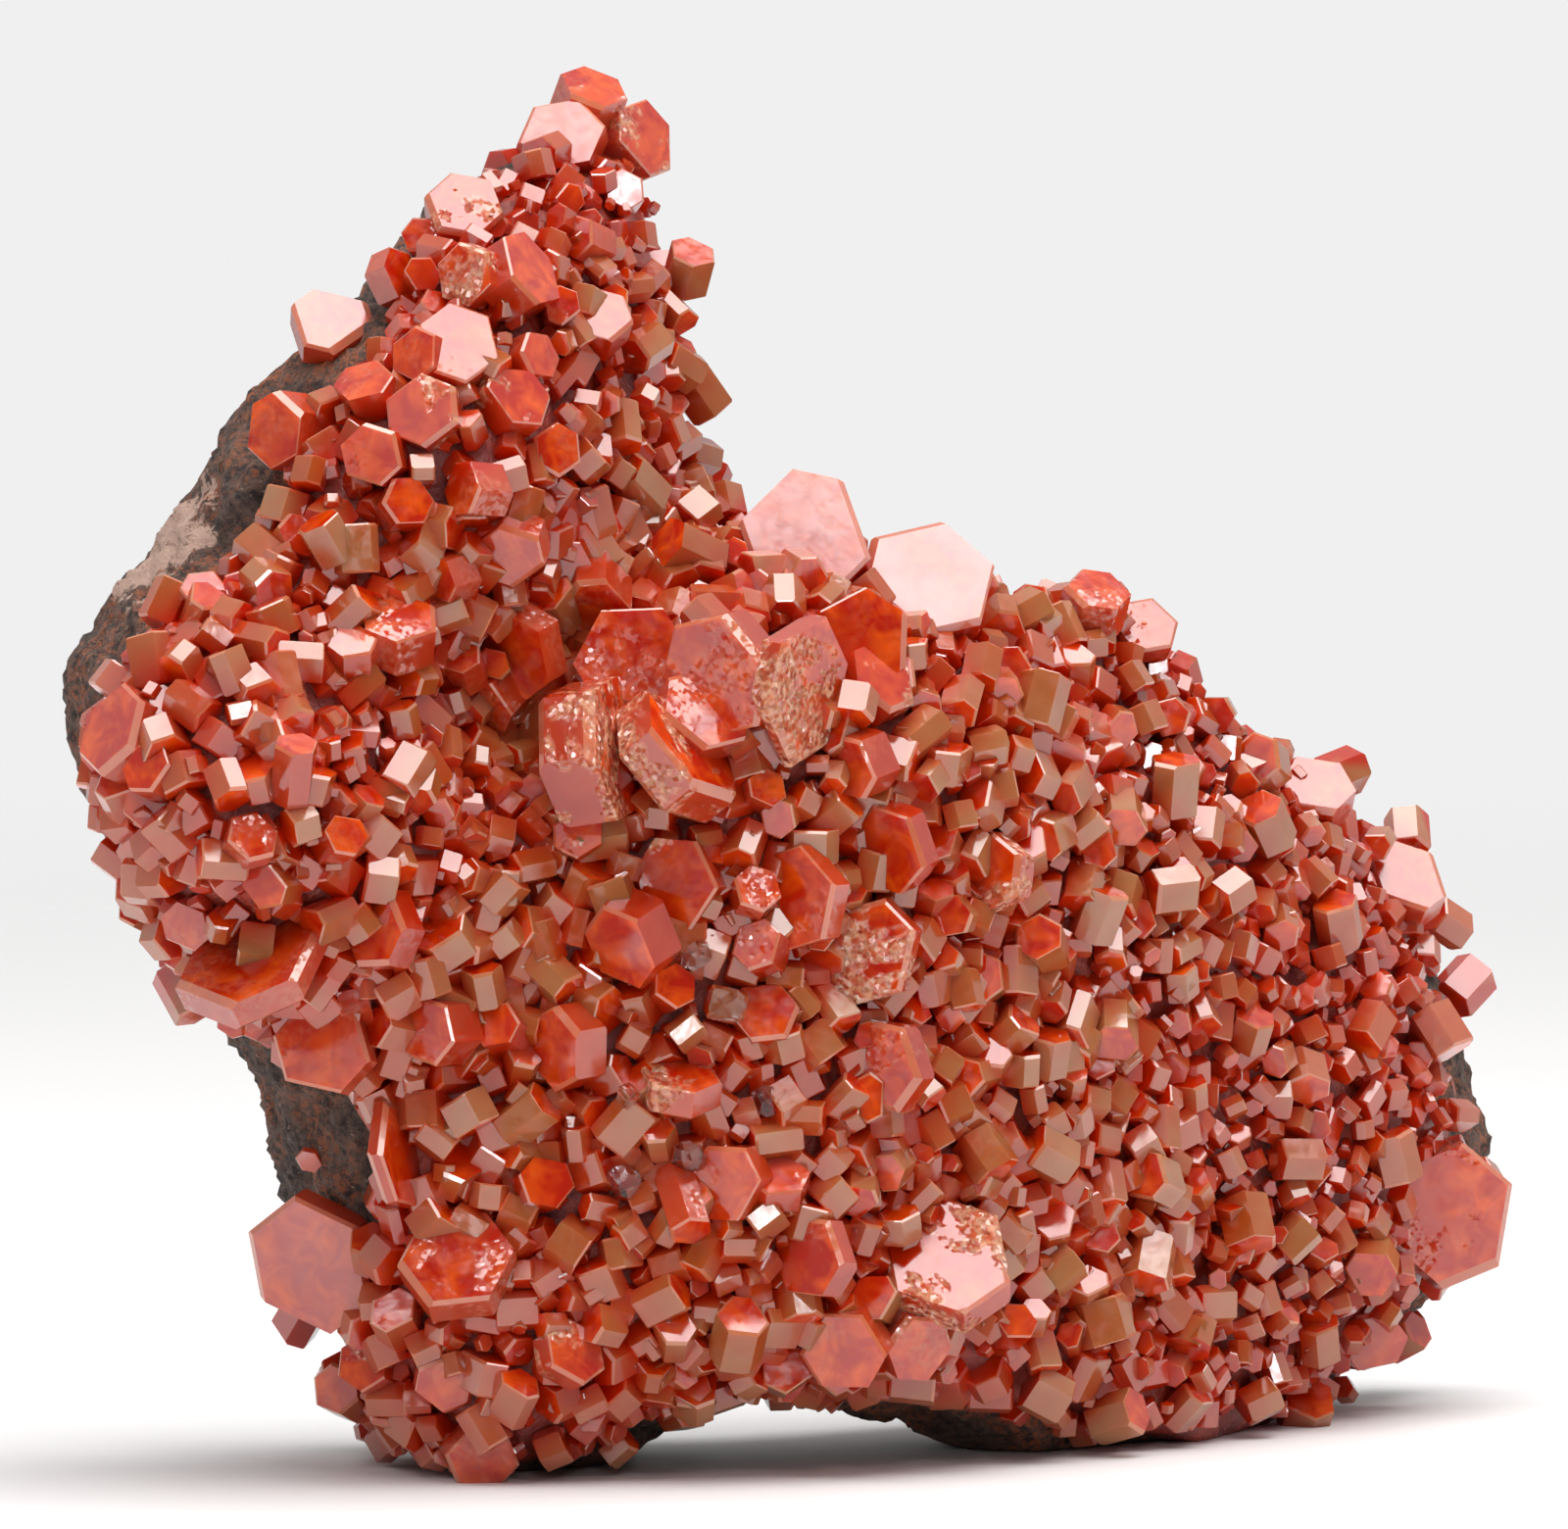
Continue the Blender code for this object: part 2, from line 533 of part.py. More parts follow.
def make_crust(rock_and_gap, plate_and_gap, cutter):
    rng = random.Random(SEED)
    crust = lens("vanadinite_crust", CRUST_OUTLINE, crust_front, crust_back)
    crystals = []
    for number, (centre, axis, width, height) in enumerate(all_crystals(rng, crust)):
        turn = rng.uniform(0.0, math.pi / 3.0)
        name = "crystal_%d" % number
        crystals.append(prism(name, place(*centre), axis, width, height, turn))
    combine(crust, "UNION", crystals)
    drop(crystals)
    combine(crust, "DIFFERENCE", [rock_and_gap, plate_and_gap, cutter])
    keep_largest_body(crust)
    crust.data.materials.clear()
    crust.data.materials.append(material("vanadinite", CRYSTAL_COLOUR, 0.25))
    return crust


def make_lone_plate(rock_and_gap):
    """The plate that stands by itself on bare rock, with its copy for the gap around it."""
    x, z, width, height, direction = LONE_PLATE
    centre = place(x, rock_front(x, z) - 0.5, z)
    axis = axis_vector(direction)
    plate = prism("lone_plate", centre, axis, width, height, PLATE_TURN)
    outer = prism("plate_gap", centre, axis, width + 2.0 * GAP, height + 2.0 * GAP, PLATE_TURN)
    combine(plate, "DIFFERENCE", [rock_and_gap])
    keep_largest_body(plate)
    plate.data.materials.clear()
    plate.data.materials.append(material("lone_plate", PLATE_COLOUR, 0.2))
    return plate, outer


def main():
    clear_scene()
    cutter = floor_cutter()
    make_rock(cutter)
    rock_and_gap = rock_with_gap()
    plate, plate_and_gap = make_lone_plate(rock_and_gap)
    make_crust(rock_and_gap, plate_and_gap, cutter)
    drop([cutter, rock_and_gap, plate_and_gap])
    for obj in bpy.data.objects:
        to_metres(obj)


main()
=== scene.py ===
"""Looks of the vanadinite specimen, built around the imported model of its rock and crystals.

The two outlines, the list of large crystals and the formulas for the slab are those of the
part's source, so each piece lies where its solid does. Pieces are modelled in millimetres
and turned to metres at the end. The smaller crystals are scattered by Geometry Nodes.

X runs to the right along the face, Y from the face into the rock, Z up.
"""

import json
import math
import random

import bmesh
import bpy
from mathutils import Euler, Matrix, Vector, noise
from mathutils.bvhtree import BVHTree

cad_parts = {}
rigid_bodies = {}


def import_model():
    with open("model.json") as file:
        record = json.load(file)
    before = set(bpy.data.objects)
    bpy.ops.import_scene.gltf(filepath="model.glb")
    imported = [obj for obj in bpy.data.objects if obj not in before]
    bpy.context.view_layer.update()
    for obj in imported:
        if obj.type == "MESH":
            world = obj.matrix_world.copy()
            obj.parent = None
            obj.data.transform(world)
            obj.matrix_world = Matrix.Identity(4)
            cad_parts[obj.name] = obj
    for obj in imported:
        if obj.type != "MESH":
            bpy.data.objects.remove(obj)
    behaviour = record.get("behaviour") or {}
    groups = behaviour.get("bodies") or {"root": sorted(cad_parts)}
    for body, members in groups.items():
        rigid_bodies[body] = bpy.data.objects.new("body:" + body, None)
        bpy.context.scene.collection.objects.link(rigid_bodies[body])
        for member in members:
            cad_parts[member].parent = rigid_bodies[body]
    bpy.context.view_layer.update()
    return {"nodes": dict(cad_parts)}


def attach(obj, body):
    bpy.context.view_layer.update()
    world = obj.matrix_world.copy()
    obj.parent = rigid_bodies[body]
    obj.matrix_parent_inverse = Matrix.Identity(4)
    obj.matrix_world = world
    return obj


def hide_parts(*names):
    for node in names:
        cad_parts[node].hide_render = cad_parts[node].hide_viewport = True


MM = 0.001

# The slab, as in the part's source, in millimetres
CRUST = 1.5            # height of the crust over the rock
ROOT = 2.0             # depth to which the crust reaches into the rock
THICK = 13.5           # slab from face to back, low down
RIM = 4.0              # width over which the slab rounds off at its outline
CRUST_RIM = 1.3        # width over which the crust thins out at its outline
BLUNT = 0.16           # share of the thickness that is left at the very edge
HUB = (-6.2, 19.5)     # a point from which both outlines are seen whole
CENTRE = (0.55, 10.66)  # middle of the specimen's box, which becomes X = Y = 0
SPOKES = 46
RINGS = (0.2, 0.38, 0.56, 0.74, 0.88, 0.96, 1.0)
FAR_IN_FRONT = -60.0   # depth from which surfaces are looked at

# The medium crystals between the listed ones, placed as in the part's source
FACE_FILLERS = 60
EDGE_FILLERS = 11
CANDIDATES = 40        # places tried for each, of which the emptiest is taken
ACROSS = (-20.0, 21.0)  # where the face is searched, in X and in Z
UPWARD = (0.6, 39.0)
EDGE_UPWARD = (3.0, 36.0)  # the part of the edge that has them
EDGE_ROOM = 0.2        # least distance of one on the face from the outline
EDGE_STEP = 0.4        # step over which the slope of an edge is read
FILLER_WIDTH = (1.5, 2.2)
FILLER_HEIGHT = (0.8, 1.15)  # as a share of the width
FILLER_TILT = (25.0, 80.0)  # degrees from the crust's normal
SEATING = 0.45         # share of a crystal's half height by which its centre stands clear
SEED = 13
# Here they are drawn finer than those of the solid
FACE_TRIM = 0.76       # share of the solid's width and height on the face
EDGE_TRIM = 0.72       # and on the edge
LEANING = 40.0         # degrees by which they lean over more than in the solid

# Outline of the rock slab (x, z), from the peak anticlockwise as seen from the front
ROCK_OUTLINE = [
    (-5.7, 38.3), (-10.2, 36.4), (-11.7, 34.2), (-15.7, 30.3), (-17.1, 27.5), (-20.1, 24.2),
    (-20.8, 22.0), (-20.2, 20.1), (-17.7, 15.3), (-15.1, 11.3), (-14.4, 7.1), (-13.2, 4.3),
    (-11.2, 1.2), (-9.8, -0.9), (-5.6, -0.9), (-2.8, 1.6), (1.4, 2.0), (4.3, 0.1),
    (5.7, -1.4), (13.0, -2.1), (16.0, 0.7), (20.2, 3.4), (21.5, 4.8), (21.3, 9.2),
    (18.9, 14.0), (16.1, 17.1), (11.6, 20.9), (7.1, 23.7), (2.8, 24.5), (-1.1, 25.6),
    (-2.8, 27.4), (-4.2, 32.1), (-4.4, 36.3),
]

# Outline of the crystal crust (x, z), in the same order
CRUST_OUTLINE = [
    (-5.6, 39.2), (-7.2, 38.0), (-9.2, 36.2), (-10.8, 34.4), (-11.0, 32.9), (-12.7, 31.1),
    (-14.3, 29.8), (-13.6, 28.2), (-14.2, 26.6), (-16.5, 25.3), (-18.9, 23.4), (-19.6, 21.2),
    (-18.8, 18.5), (-17.6, 15.7), (-16.9, 14.1), (-14.4, 12.4), (-11.5, 11.6), (-11.2, 8.8),
    (-13.4, 5.1), (-13.1, 2.0), (-11.1, 0.3), (-8.9, -0.8), (-6.7, 0.0), (-4.5, 1.3),
    (-2.5, 2.3), (0.6, 2.5), (2.8, 2.1), (4.5, 2.3), (6.2, 1.7), (8.2, 0.7),
    (9.4, -0.8), (14.1, -1.3), (15.6, 0.2), (18.0, 1.7), (20.5, 4.0), (20.8, 6.8),
    (20.2, 10.3), (19.4, 14.2), (18.7, 16.3), (16.5, 18.2), (14.4, 19.8), (11.9, 21.4),
    (11.2, 23.5), (9.1, 24.7), (6.5, 24.4), (4.2, 25.0), (1.4, 26.2), (-1.1, 26.5),
    (-2.7, 27.8), (-3.1, 29.7), (-3.2, 32.7), (-3.4, 35.0), (-3.7, 37.2),
]

# Hollows in the face: x, z, radius, depth
HOLLOWS = [(-7.8, 21.5, 2.2, 3.5), (-5.8, 24.3, 2.4, 3.0), (-3.6, 26.9, 2.6, 3.0)]

# The large crystals: x, z, width, height, then the direction of the crystal's axis
# as (right, up, towards the viewer)
LIMB = [
    (-5.6, 39.0, 2.1, 1.3, (0.3, 0.8, 0.5)), (-6.4, 37.9, 2.5, 0.9, (-0.1, 0.5, 0.85)),
    (-4.4, 37.9, 2.4, 1.2, (0.7, 0.3, 0.6)), (-4.7, 36.4, 1.3, 1.2, (0.2, 0.3, 0.9)),
    (-9.1, 36.0, 2.4, 1.0, (0.0, 0.6, 0.8)), (-10.2, 35.2, 1.3, 0.8, (-0.3, 0.4, 0.85)),
    (-11.1, 34.1, 1.8, 0.8, (0.75, 0.35, 0.55)), (-7.6, 34.2, 2.6, 1.2, (0.75, 0.5, 0.45)),
    (-8.8, 34.2, 1.9, 0.9, (-0.5, 0.1, 0.85)), (-5.6, 35.1, 1.3, 1.2, (-0.6, 0.3, 0.75)),
    (-6.4, 33.3, 1.2, 1.1, (0.2, 0.2, 0.95)), (-5.3, 32.8, 1.8, 1.2, (0.2, 0.55, 0.8)),
    (-9.2, 32.2, 2.5, 0.9, (0.15, 0.5, 0.85)), (-10.2, 32.0, 1.6, 0.8, (-0.5, 0.3, 0.8)),
    (-11.7, 31.0, 1.8, 1.0, (-0.3, 0.7, 0.6)), (-10.1, 30.4, 2.2, 0.9, (-0.15, 0.25, 0.95)),
    (-7.7, 30.7, 2.2, 1.0, (0.55, 0.45, 0.7)), (-7.2, 31.9, 1.5, 1.0, (0.7, 0.3, 0.65)),
]
SHOULDER = [
    (-14.0, 29.9, 2.2, 1.4, (-0.6, 0.1, 0.8)), (-11.4, 29.2, 1.8, 1.4, (-0.2, 0.1, 0.97)),
    (-10.7, 27.8, 1.5, 1.2, (0.3, 0.3, 0.9)), (-8.6, 28.3, 1.6, 1.3, (-0.75, 0.1, 0.65)),
    (-7.6, 26.6, 2.0, 1.2, (-0.15, -0.45, 0.88)), (-6.6, 29.3, 1.6, 1.2, (0.4, 0.2, 0.9)),
    (-9.4, 25.9, 1.5, 1.1, (-0.7, -0.2, 0.7)), (-10.8, 24.3, 2.4, 1.3, (0.1, 0.8, 0.6)),
    (-12.1, 23.7, 1.5, 1.2, (0.0, 0.75, 0.65)), (-9.0, 23.2, 1.2, 1.2, (-0.2, 0.6, 0.77)),
    (-7.4, 23.6, 2.7, 1.1, (-0.55, -0.3, 0.78)), (-8.2, 22.3, 2.0, 1.2, (-0.5, -0.5, 0.7)),
    (-5.4, 25.2, 2.2, 1.5, (0.0, -0.6, 0.8)), (-13.7, 20.6, 1.3, 1.9, (0.1, 0.85, 0.5)),
]
KNOB = [
    (-17.5, 20.5, 1.5, 1.2, (-0.5, 0.3, 0.8)), (-18.4, 21.5, 2.8, 1.2, (-0.75, 0.35, 0.55)),
    (-14.9, 18.6, 1.6, 0.9, (0.3, 0.4, 0.85)), (-12.5, 18.6, 1.3, 1.4, (0.4, 0.3, 0.85)),
    (-16.6, 16.2, 1.5, 1.0, (-0.4, -0.2, 0.9)), (-14.9, 15.0, 4.6, 1.0, (-0.35, 0.8, 0.5)),
    (-11.2, 16.0, 2.4, 1.0, (-0.65, 0.15, 0.75)),
]
LOWER_LEFT = [
    (-12.9, 12.6, 2.9, 0.9, (-0.25, 0.15, 0.95)), (-13.4, 6.2, 4.2, 0.9, (-0.38, -0.2, 0.9)),
    (-10.9, 9.4, 3.4, 0.5, (0.92, 0.2, 0.35)), (-9.7, 13.0, 2.0, 1.4, (-0.6, 0.0, 0.8)),
    (-7.9, 13.0, 1.4, 1.2, (-0.4, 0.3, 0.85)), (-6.1, 12.6, 2.6, 1.2, (-0.75, -0.1, 0.65)),
    (-6.9, 8.6, 1.6, 1.3, (0.3, 0.2, 0.9)), (-9.2, 6.2, 3.2, 1.3, (-0.1, 0.5, 0.85)),
    (-9.6, 3.0, 1.8, 0.9, (0.1, -0.2, 0.97)), (-11.1, 2.1, 1.6, 0.9, (-0.3, 0.2, 0.93)),
    (-8.6, 0.9, 2.1, 1.0, (0.1, -0.35, 0.93)), (-11.7, 3.2, 1.8, 1.0, (-0.5, 0.3, 0.8)),
    (-6.1, 3.8, 2.0, 0.9, (0.5, 0.3, 0.8)),
]
MIDDLE = [
    (-4.3, 23.4, 3.3, 1.1, (-0.1, 0.15, 0.98)), (-1.6, 23.1, 3.6, 1.5, (-0.45, -0.1, 0.88)),
    (-5.5, 20.8, 4.3, 1.7, (0.93, 0.15, 0.3)), (-3.1, 20.7, 4.0, 1.4, (0.72, 0.6, 0.35)),
    (-2.3, 21.9, 2.7, 1.0, (0.35, 0.5, 0.8)), (0.5, 22.6, 4.6, 0.7, (0.85, -0.1, 0.5)),
    (2.2, 23.9, 2.8, 1.3, (0.2, 0.1, 0.97)), (2.6, 22.6, 2.2, 1.0, (0.5, 0.5, 0.7)),
    (2.2, 20.5, 2.0, 1.3, (-0.6, -0.2, 0.75)), (-0.6, 19.7, 1.2, 1.1, (0.3, 0.3, 0.9)),
    (-5.8, 18.4, 1.5, 1.2, (-0.1, 0.3, 0.95)), (-2.9, 17.1, 2.7, 0.9, (-0.3, 0.0, 0.95)),
    (-0.9, 16.8, 1.4, 1.1, (0.2, 0.4, 0.9)), (0.6, 16.7, 3.0, 0.9, (-0.55, 0.0, 0.83)),
    (2.4, 15.1, 3.1, 0.9, (-0.3, 0.05, 0.95)), (3.1, 18.0, 2.7, 1.0, (-0.5, -0.2, 0.84)),
    (6.0, 17.1, 2.3, 0.9, (-0.5, 0.1, 0.85)), (-0.6, 13.3, 1.9, 0.9, (0.1, 0.4, 0.9)),
    (-0.6, 15.3, 1.6, 1.2, (-0.3, 0.3, 0.9)), (2.9, 11.9, 2.8, 0.9, (-0.5, 0.0, 0.85)),
    (-2.9, 11.4, 2.4, 0.9, (0.1, 0.9, 0.4)), (-4.2, 15.5, 2.7, 1.4, (-0.6, -0.35, 0.72)),
    (-3.2, 14.1, 1.3, 1.1, (0.3, 0.2, 0.9)), (-2.9, 8.1, 1.3, 2.1, (0.25, -0.75, 0.6)),
    (-0.3, 8.7, 2.0, 0.8, (0.1, 0.75, 0.65)), (-1.5, 8.7, 2.3, 1.0, (-0.4, 0.0, 0.9)),
]
LOWER_RIGHT = [
    (1.7, 3.8, 2.5, 1.3, (-0.2, -0.2, 0.95)), (3.6, 3.8, 2.1, 1.2, (0.4, -0.2, 0.9)),
    (4.7, 6.0, 3.9, 1.2, (0.0, 0.6, 0.8)), (0.9, 6.5, 2.7, 0.9, (-0.6, 0.1, 0.8)),
    (6.5, 4.1, 1.2, 1.1, (0.3, 0.4, 0.8)), (17.3, 2.4, 2.0, 1.2, (0.3, -0.2, 0.9)),
    (19.5, 5.9, 4.3, 1.2, (0.3, 0.0, 0.95)),
]
RIGHT_EDGE = [
    (18.4, 15.7, 2.6, 1.2, (0.2, 0.6, 0.8)), (15.6, 18.5, 2.4, 1.1, (0.1, 0.7, 0.7)),
    (8.9, 24.4, 2.1, 1.4, (0.2, 0.8, 0.5)), (10.5, 23.6, 2.0, 0.9, (0.2, 0.5, 0.85)),
    (0.6, 26.6, 3.9, 1.0, (0.05, 0.45, 0.9)), (4.1, 25.2, 4.3, 1.0, (0.12, 0.5, 0.86)),
]
LARGE_CRYSTALS = (LIMB + SHOULDER + KNOB + LOWER_LEFT + MIDDLE + LOWER_RIGHT + RIGHT_EDGE)
LONE_PLATE = (-12.9, 32.7, 2.5, 0.85, (0.05, 0.68, 0.73))
PLATE_TURN = math.radians(12.0)

# Large crystals with etched, sparkling patches, and those whose end face has a painted pale pink
# reflection and by what share, all by (x, z)
ETCHED = {
    (-4.4, 37.9), (-9.1, 36.0), (-8.8, 34.2), (-10.1, 30.4), (-7.7, 30.7),
    (-11.7, 3.2), (-6.1, 3.8), (-5.5, 20.8), (-3.1, 20.7), (0.5, 22.6), (2.6, 22.6),
    (-2.9, 17.1), (6.0, 17.1), (-2.9, 11.4), (2.4, 15.1), (4.7, 6.0),
}
PAINTED_REFLECTION_FACES = {(0.6, 26.6): 0.95, (4.1, 25.2): 0.5, (-6.4, 37.9): 0.3, (-13.4, 6.2): 0.2}
# Where the crust is pinkish red rather than tan: x, z, radius
BLUSHES = [
    (-18.0, 20.5, 6.0), (-10.0, 3.0, 6.5), (-5.5, 38.5, 4.5), (-11.0, 35.0, 3.5), (19.5, 12.0, 7.0),
    (-12.0, 12.5, 4.0), (-3.0, 22.5, 4.5),
]

# Details on the rock and the crust, all in the tables' coordinates
PALE_SPOT = (-17.6, 2.0, 26.3)  # middle of the pink-beige patch on the rock
PALE_REACH = (1.9, 2.2)  # radii between which that patch fades
PALE_RAGGED = 6.0      # how much its edge wanders
FLAKE = (-13.5, 9.1, 0.8, 0.25)  # x, z, width, height
FLAKE_TURN = 0.3

# The colourless grains: x, z, width
CLEAR_GRAINS = [
    (-4.6, 8.7, 1.1), (-2.7, 9.4, 1.0), (-0.6, 10.9, 1.0), (-4.4, 11.2, 0.7), (-2.5, 15.1, 0.9),
    (-1.6, 13.7, 1.1),
]
GRAIN_FACETS = 14
GRAIN_CUT = (0.36, 0.5)  # distance of a facet from the middle, as a share of the width
GRAIN_PROUD = 0.15     # share of its width by which a grain stands out
GOLDEN_ANGLE = math.radians(137.5)

# Irregularity of a crystal's form, as shares of its width
SIDE_SPREAD = 0.11     # how far a side face stands from its regular place
CHAMFER = (0.01, 0.05)  # width of the small faces that cut the edges
CHAMFER_SLANT = (0.8, 1.3)  # how far such a face leans to the end rather than the side
CHAMFER_CHANCE = 0.75
SLIGHT_ETCH = 0.2      # the most that a large crystal is etched where it isn't listed

# The smaller crystals, in millimetres
BLOCKY_SHAPES = 7
BLOCKY_HEIGHT = (0.7, 1.15)
BLOCKY = {"Spacing": 0.86, "Least Width": 0.9, "Greatest Width": 1.45,
          "Least Lift": 0.05, "Greatest Lift": 0.7, "Least Lean": math.radians(45.0),
          "Greatest Lean": math.radians(95.0), "Seed": 5}
SMALL = {"Spacing": 0.8, "Least Width": 0.4, "Greatest Width": 0.85,
         "Least Lift": 0.1, "Greatest Lift": 0.65, "Least Lean": math.radians(30.0),
         "Greatest Lean": math.radians(95.0), "Seed": 8}

# The two surfaces: fineness, and how far they depart from their solids
ROCK_VOXEL = 0.3
CRUST_VOXEL = 0.35
CRUST_SINK = 0.3       # how far the ground between the crystals lies below the crust's solid
CRUST_UNEVEN = 0.25    # how much that depth varies
ROCK_SWELL = 0.30      # height of the rock's broad swells
ROCK_PIT = 0.9         # depth of its pits
ROCK_FURROW = 0.35     # depth of its furrows
ROCK_GRAIN = 0.08      # height of its grain
RELIEF_FROM = 0.1      # height over the floor at which all this sets in
RELIEF_SPAN = 0.8      # and height over which it grows to its full measure
# Painted shade: near the ground the crystals' colour is drawn towards a deeper red, up to this height
RECESS_SHADE_REACH = 1.3       # height over the ground up to which the crystals are deeper in colour

# Where small crystals grow on the ground
FLOOR_ROOM = 0.9       # least height over the floor
ROCK_ROOM = 0.2        # greatest depth behind the face of the rock
RIM_ROOM = 0.3         # width along the rock's outline where that depth doesn't count
CRYSTAL_ROOM = 0.44    # share of a large crystal's width round its axis where none grow
LIMB_GROWTH = 0.22     # share by which they are smaller on the limb, and at the far right
RIGHT_GROWTH = 0.27

# The camera: how far it stands from the middle of the face, its fall, and its view
CAMERA_DISTANCE = 450.0
CAMERA_FALL = math.radians(3.0)
AIM = (0.0, 0.0, 20.4)  # in the tables' coordinates
VIEW_WIDTH = 1600.0 / 36.0
SENSOR = 36.0

# The lamps, in metres and watts: name, place, width, power, colour. The reflections of the
# small ones are the white glints on the crystals' faces
WARM_WHITE = (1.0, 0.98, 0.97)
COOL_WHITE = (1.0, 0.98, 1.0)
LAMPS = [
    ("overhead", (0.06, -0.06, 0.42), 0.46, 2.6, WARM_WHITE),
    ("front_card", (-0.20, -0.36, 0.22), 0.28, 0.16, WARM_WHITE),
    ("sparkle_0", (-0.18, -0.25, 0.30), 0.07, 0.15, COOL_WHITE),
    ("sparkle_1", (0.14, -0.34, 0.27), 0.07, 0.15, COOL_WHITE),
    ("sparkle_2", (0.02, -0.42, 0.12), 0.07, 0.15, COOL_WHITE),
]
LIT_POINT = (0.0, 0.0, 0.02)

FLOOR_RADIUS = 0.40
FLOOR_CORNERS = 96
FLOOR_FADE = (0.06, 0.36)  # metres from the middle between which the floor fades out

# Shares of the tints that lie over the crystals' own colours: a blush, a painted highlight on the cut
# edges and painted shade near the ground
BLUSH_SHARE = 0.55
EDGE_HIGHLIGHT_SHARE = 0.35
RECESS_SHADE_SHARE = 0.95
# Surface of the crystals' faces, and of their etched patches
GLOSS = (0.05, 0.22)   # least and greatest roughness
WAVINESS = 0.06
ETCHED_ROUGHNESS = 0.12
FACETS_PER_MM = 7.5
FACET_LEAN = 1.5
# How far light spreads inside the crystals: red by far the farthest
GLOW = {
    "subsurface_weight": 0.65, "subsurface_scale": 0.6 * MM, "subsurface_radius": (1.0, 0.2, 0.05),
}

# Colours, linear
ROCK_DARK = (0.028, 0.020, 0.018, 1.0)
ROCK_BROWN = (0.15, 0.090, 0.066, 1.0)
ROCK_RUST = (0.42, 0.12, 0.045, 1.0)
ROCK_PINK = (0.58, 0.38, 0.30, 1.0)
SIDE_TAN = (0.38, 0.160, 0.062, 1.0)
SIDE_CARAMEL = (0.36, 0.060, 0.006, 1.0)
RUDDY_SIDE = (0.50, 0.055, 0.012, 1.0)
RUDDY_DEEP = (0.36, 0.012, 0.001, 1.0)
BASAL_RED = (0.44, 0.012, 0.001, 1.0)
BASAL_ORANGE = (0.72, 0.085, 0.003, 1.0)
# Painted shade: the deep red the crystals take near the ground between them
RECESS_SHADE_RED = (0.44, 0.016, 0.0006, 1.0)
BLUSH_RED = (0.46, 0.075, 0.034, 1.0)
# Painted highlight on the small faces that cut the crystals' edges, and also the colour of the etched
# patches
EDGE_HIGHLIGHT_AND_ETCH_GOLD = (0.70, 0.34, 0.19, 1.0)
# Painted reflection: the pale pink that some end faces take
REFLECTION_PINK = (0.80, 0.48, 0.46, 1.0)
GROUND_RED = (0.22, 0.007, 0.0006, 1.0)
GROUND_ORANGE = (0.46, 0.030, 0.001, 1.0)
STUDIO_WHITE = (0.87, 0.87, 0.87, 1.0)
PAPER_WHITE = (0.80, 0.80, 0.80, 1.0)
CARD_WHITE = (0.60, 0.60, 0.60, 1.0)
ROOM_GREY = (0.045, 0.04, 0.04, 1.0)


# The form of the slab, as in the part's source

def edges_of(outline):
    return zip(outline, outline[1:] + outline[:1])


def reach(outline, angle):
    """Distance from the hub to the outline in one direction."""
    dx, dz = math.cos(angle), math.sin(angle)
    farthest = 0.0
    for (ax, az), (bx, bz) in edges_of(outline):
        ex, ez = bx - ax, bz - az
        wx, wz = ax - HUB[0], az - HUB[1]
        det = ex * dz - dx * ez
        if abs(det) < 1e-9:
            continue
        along = (ex * wz - ez * wx) / det
        share = (dx * wz - dz * wx) / det
        if along > 0.0 and -1e-9 <= share <= 1.0 + 1e-9:
            farthest = max(farthest, along)
    return farthest


def segment_distance(x, z, a, b):
    ex, ez = b[0] - a[0], b[1] - a[1]
    share = ((x - a[0]) * ex + (z - a[1]) * ez) / (ex * ex + ez * ez)
    share = min(1.0, max(0.0, share))
    return math.hypot(x - a[0] - share * ex, z - a[1] - share * ez)


def inset(outline, x, z):
    """Distance from a point to the outline, positive inside it."""
    nearest = min(segment_distance(x, z, a, b) for a, b in edges_of(outline))
    dx, dz = x - HUB[0], z - HUB[1]
    inside = math.hypot(dx, dz) <= reach(outline, math.atan2(dz, dx))
    return nearest if inside else -nearest


def bump(x, z, cx, cz, rx, rz):
    return math.exp(-((x - cx) / rx) ** 2 - ((z - cz) / rz) ** 2)


def smooth(t):
    t = min(1.0, max(0.0, t))
    return t * t * (3.0 - 2.0 * t)


def bent_sheet(x, z):
    """The slab without knob or hollows: it turns away at the right, and the limb leans back."""
    y = math.hypot(14.0, 1.45 * max(0.0, x + 3.0)) - 14.0
    y += 0.04 * max(0.0, z - 27.0) ** 2
    return y + 0.9 * max(0.0, x + 8.0) * smooth((z - 25.0) / 4.0) * smooth((4.0 - x) / 6.0)


def face(x, z):
    """Depth of the slab's face, before it rounds off at its outline."""
    y = bent_sheet(x, z) - 6.0 * bump(x, z, -15.6, 19.8, 5.5, 6.0)
    y -= bump(x, z, -10.5, 30.0, 4.0, 4.0)
    for hx, hz, radius, depth in HOLLOWS:
        y += depth * bump(x, z, hx, hz, radius, radius)
    return y + 0.35 * noise.noise(Vector((x / 3.1, z / 3.1, 2.0)))


def thickness(x, z):
    return THICK - 0.24 * max(0.0, z - 5.0) - 0.25 * max(0.0, x - 8.0)


def rounding(distance, width):
    """1 well inside an outline, falling in a quarter circle to a blunt edge."""
    t = 1.0 - min(1.0, max(0.0, distance / width))
    return max(BLUNT, math.sqrt(1.0 - t * t))


def rock_front(x, z):
    half = 0.5 * thickness(x, z)
    return face(x, z) + half * (1.0 - rounding(inset(ROCK_OUTLINE, x, z), RIM))


def crust_front(x, z):
    edge = rounding(inset(CRUST_OUTLINE, x, z), CRUST_RIM)
    return rock_front(x, z) - CRUST * edge


def crust_back(x, z):
    return rock_front(x, z) + ROOT


# Meshes

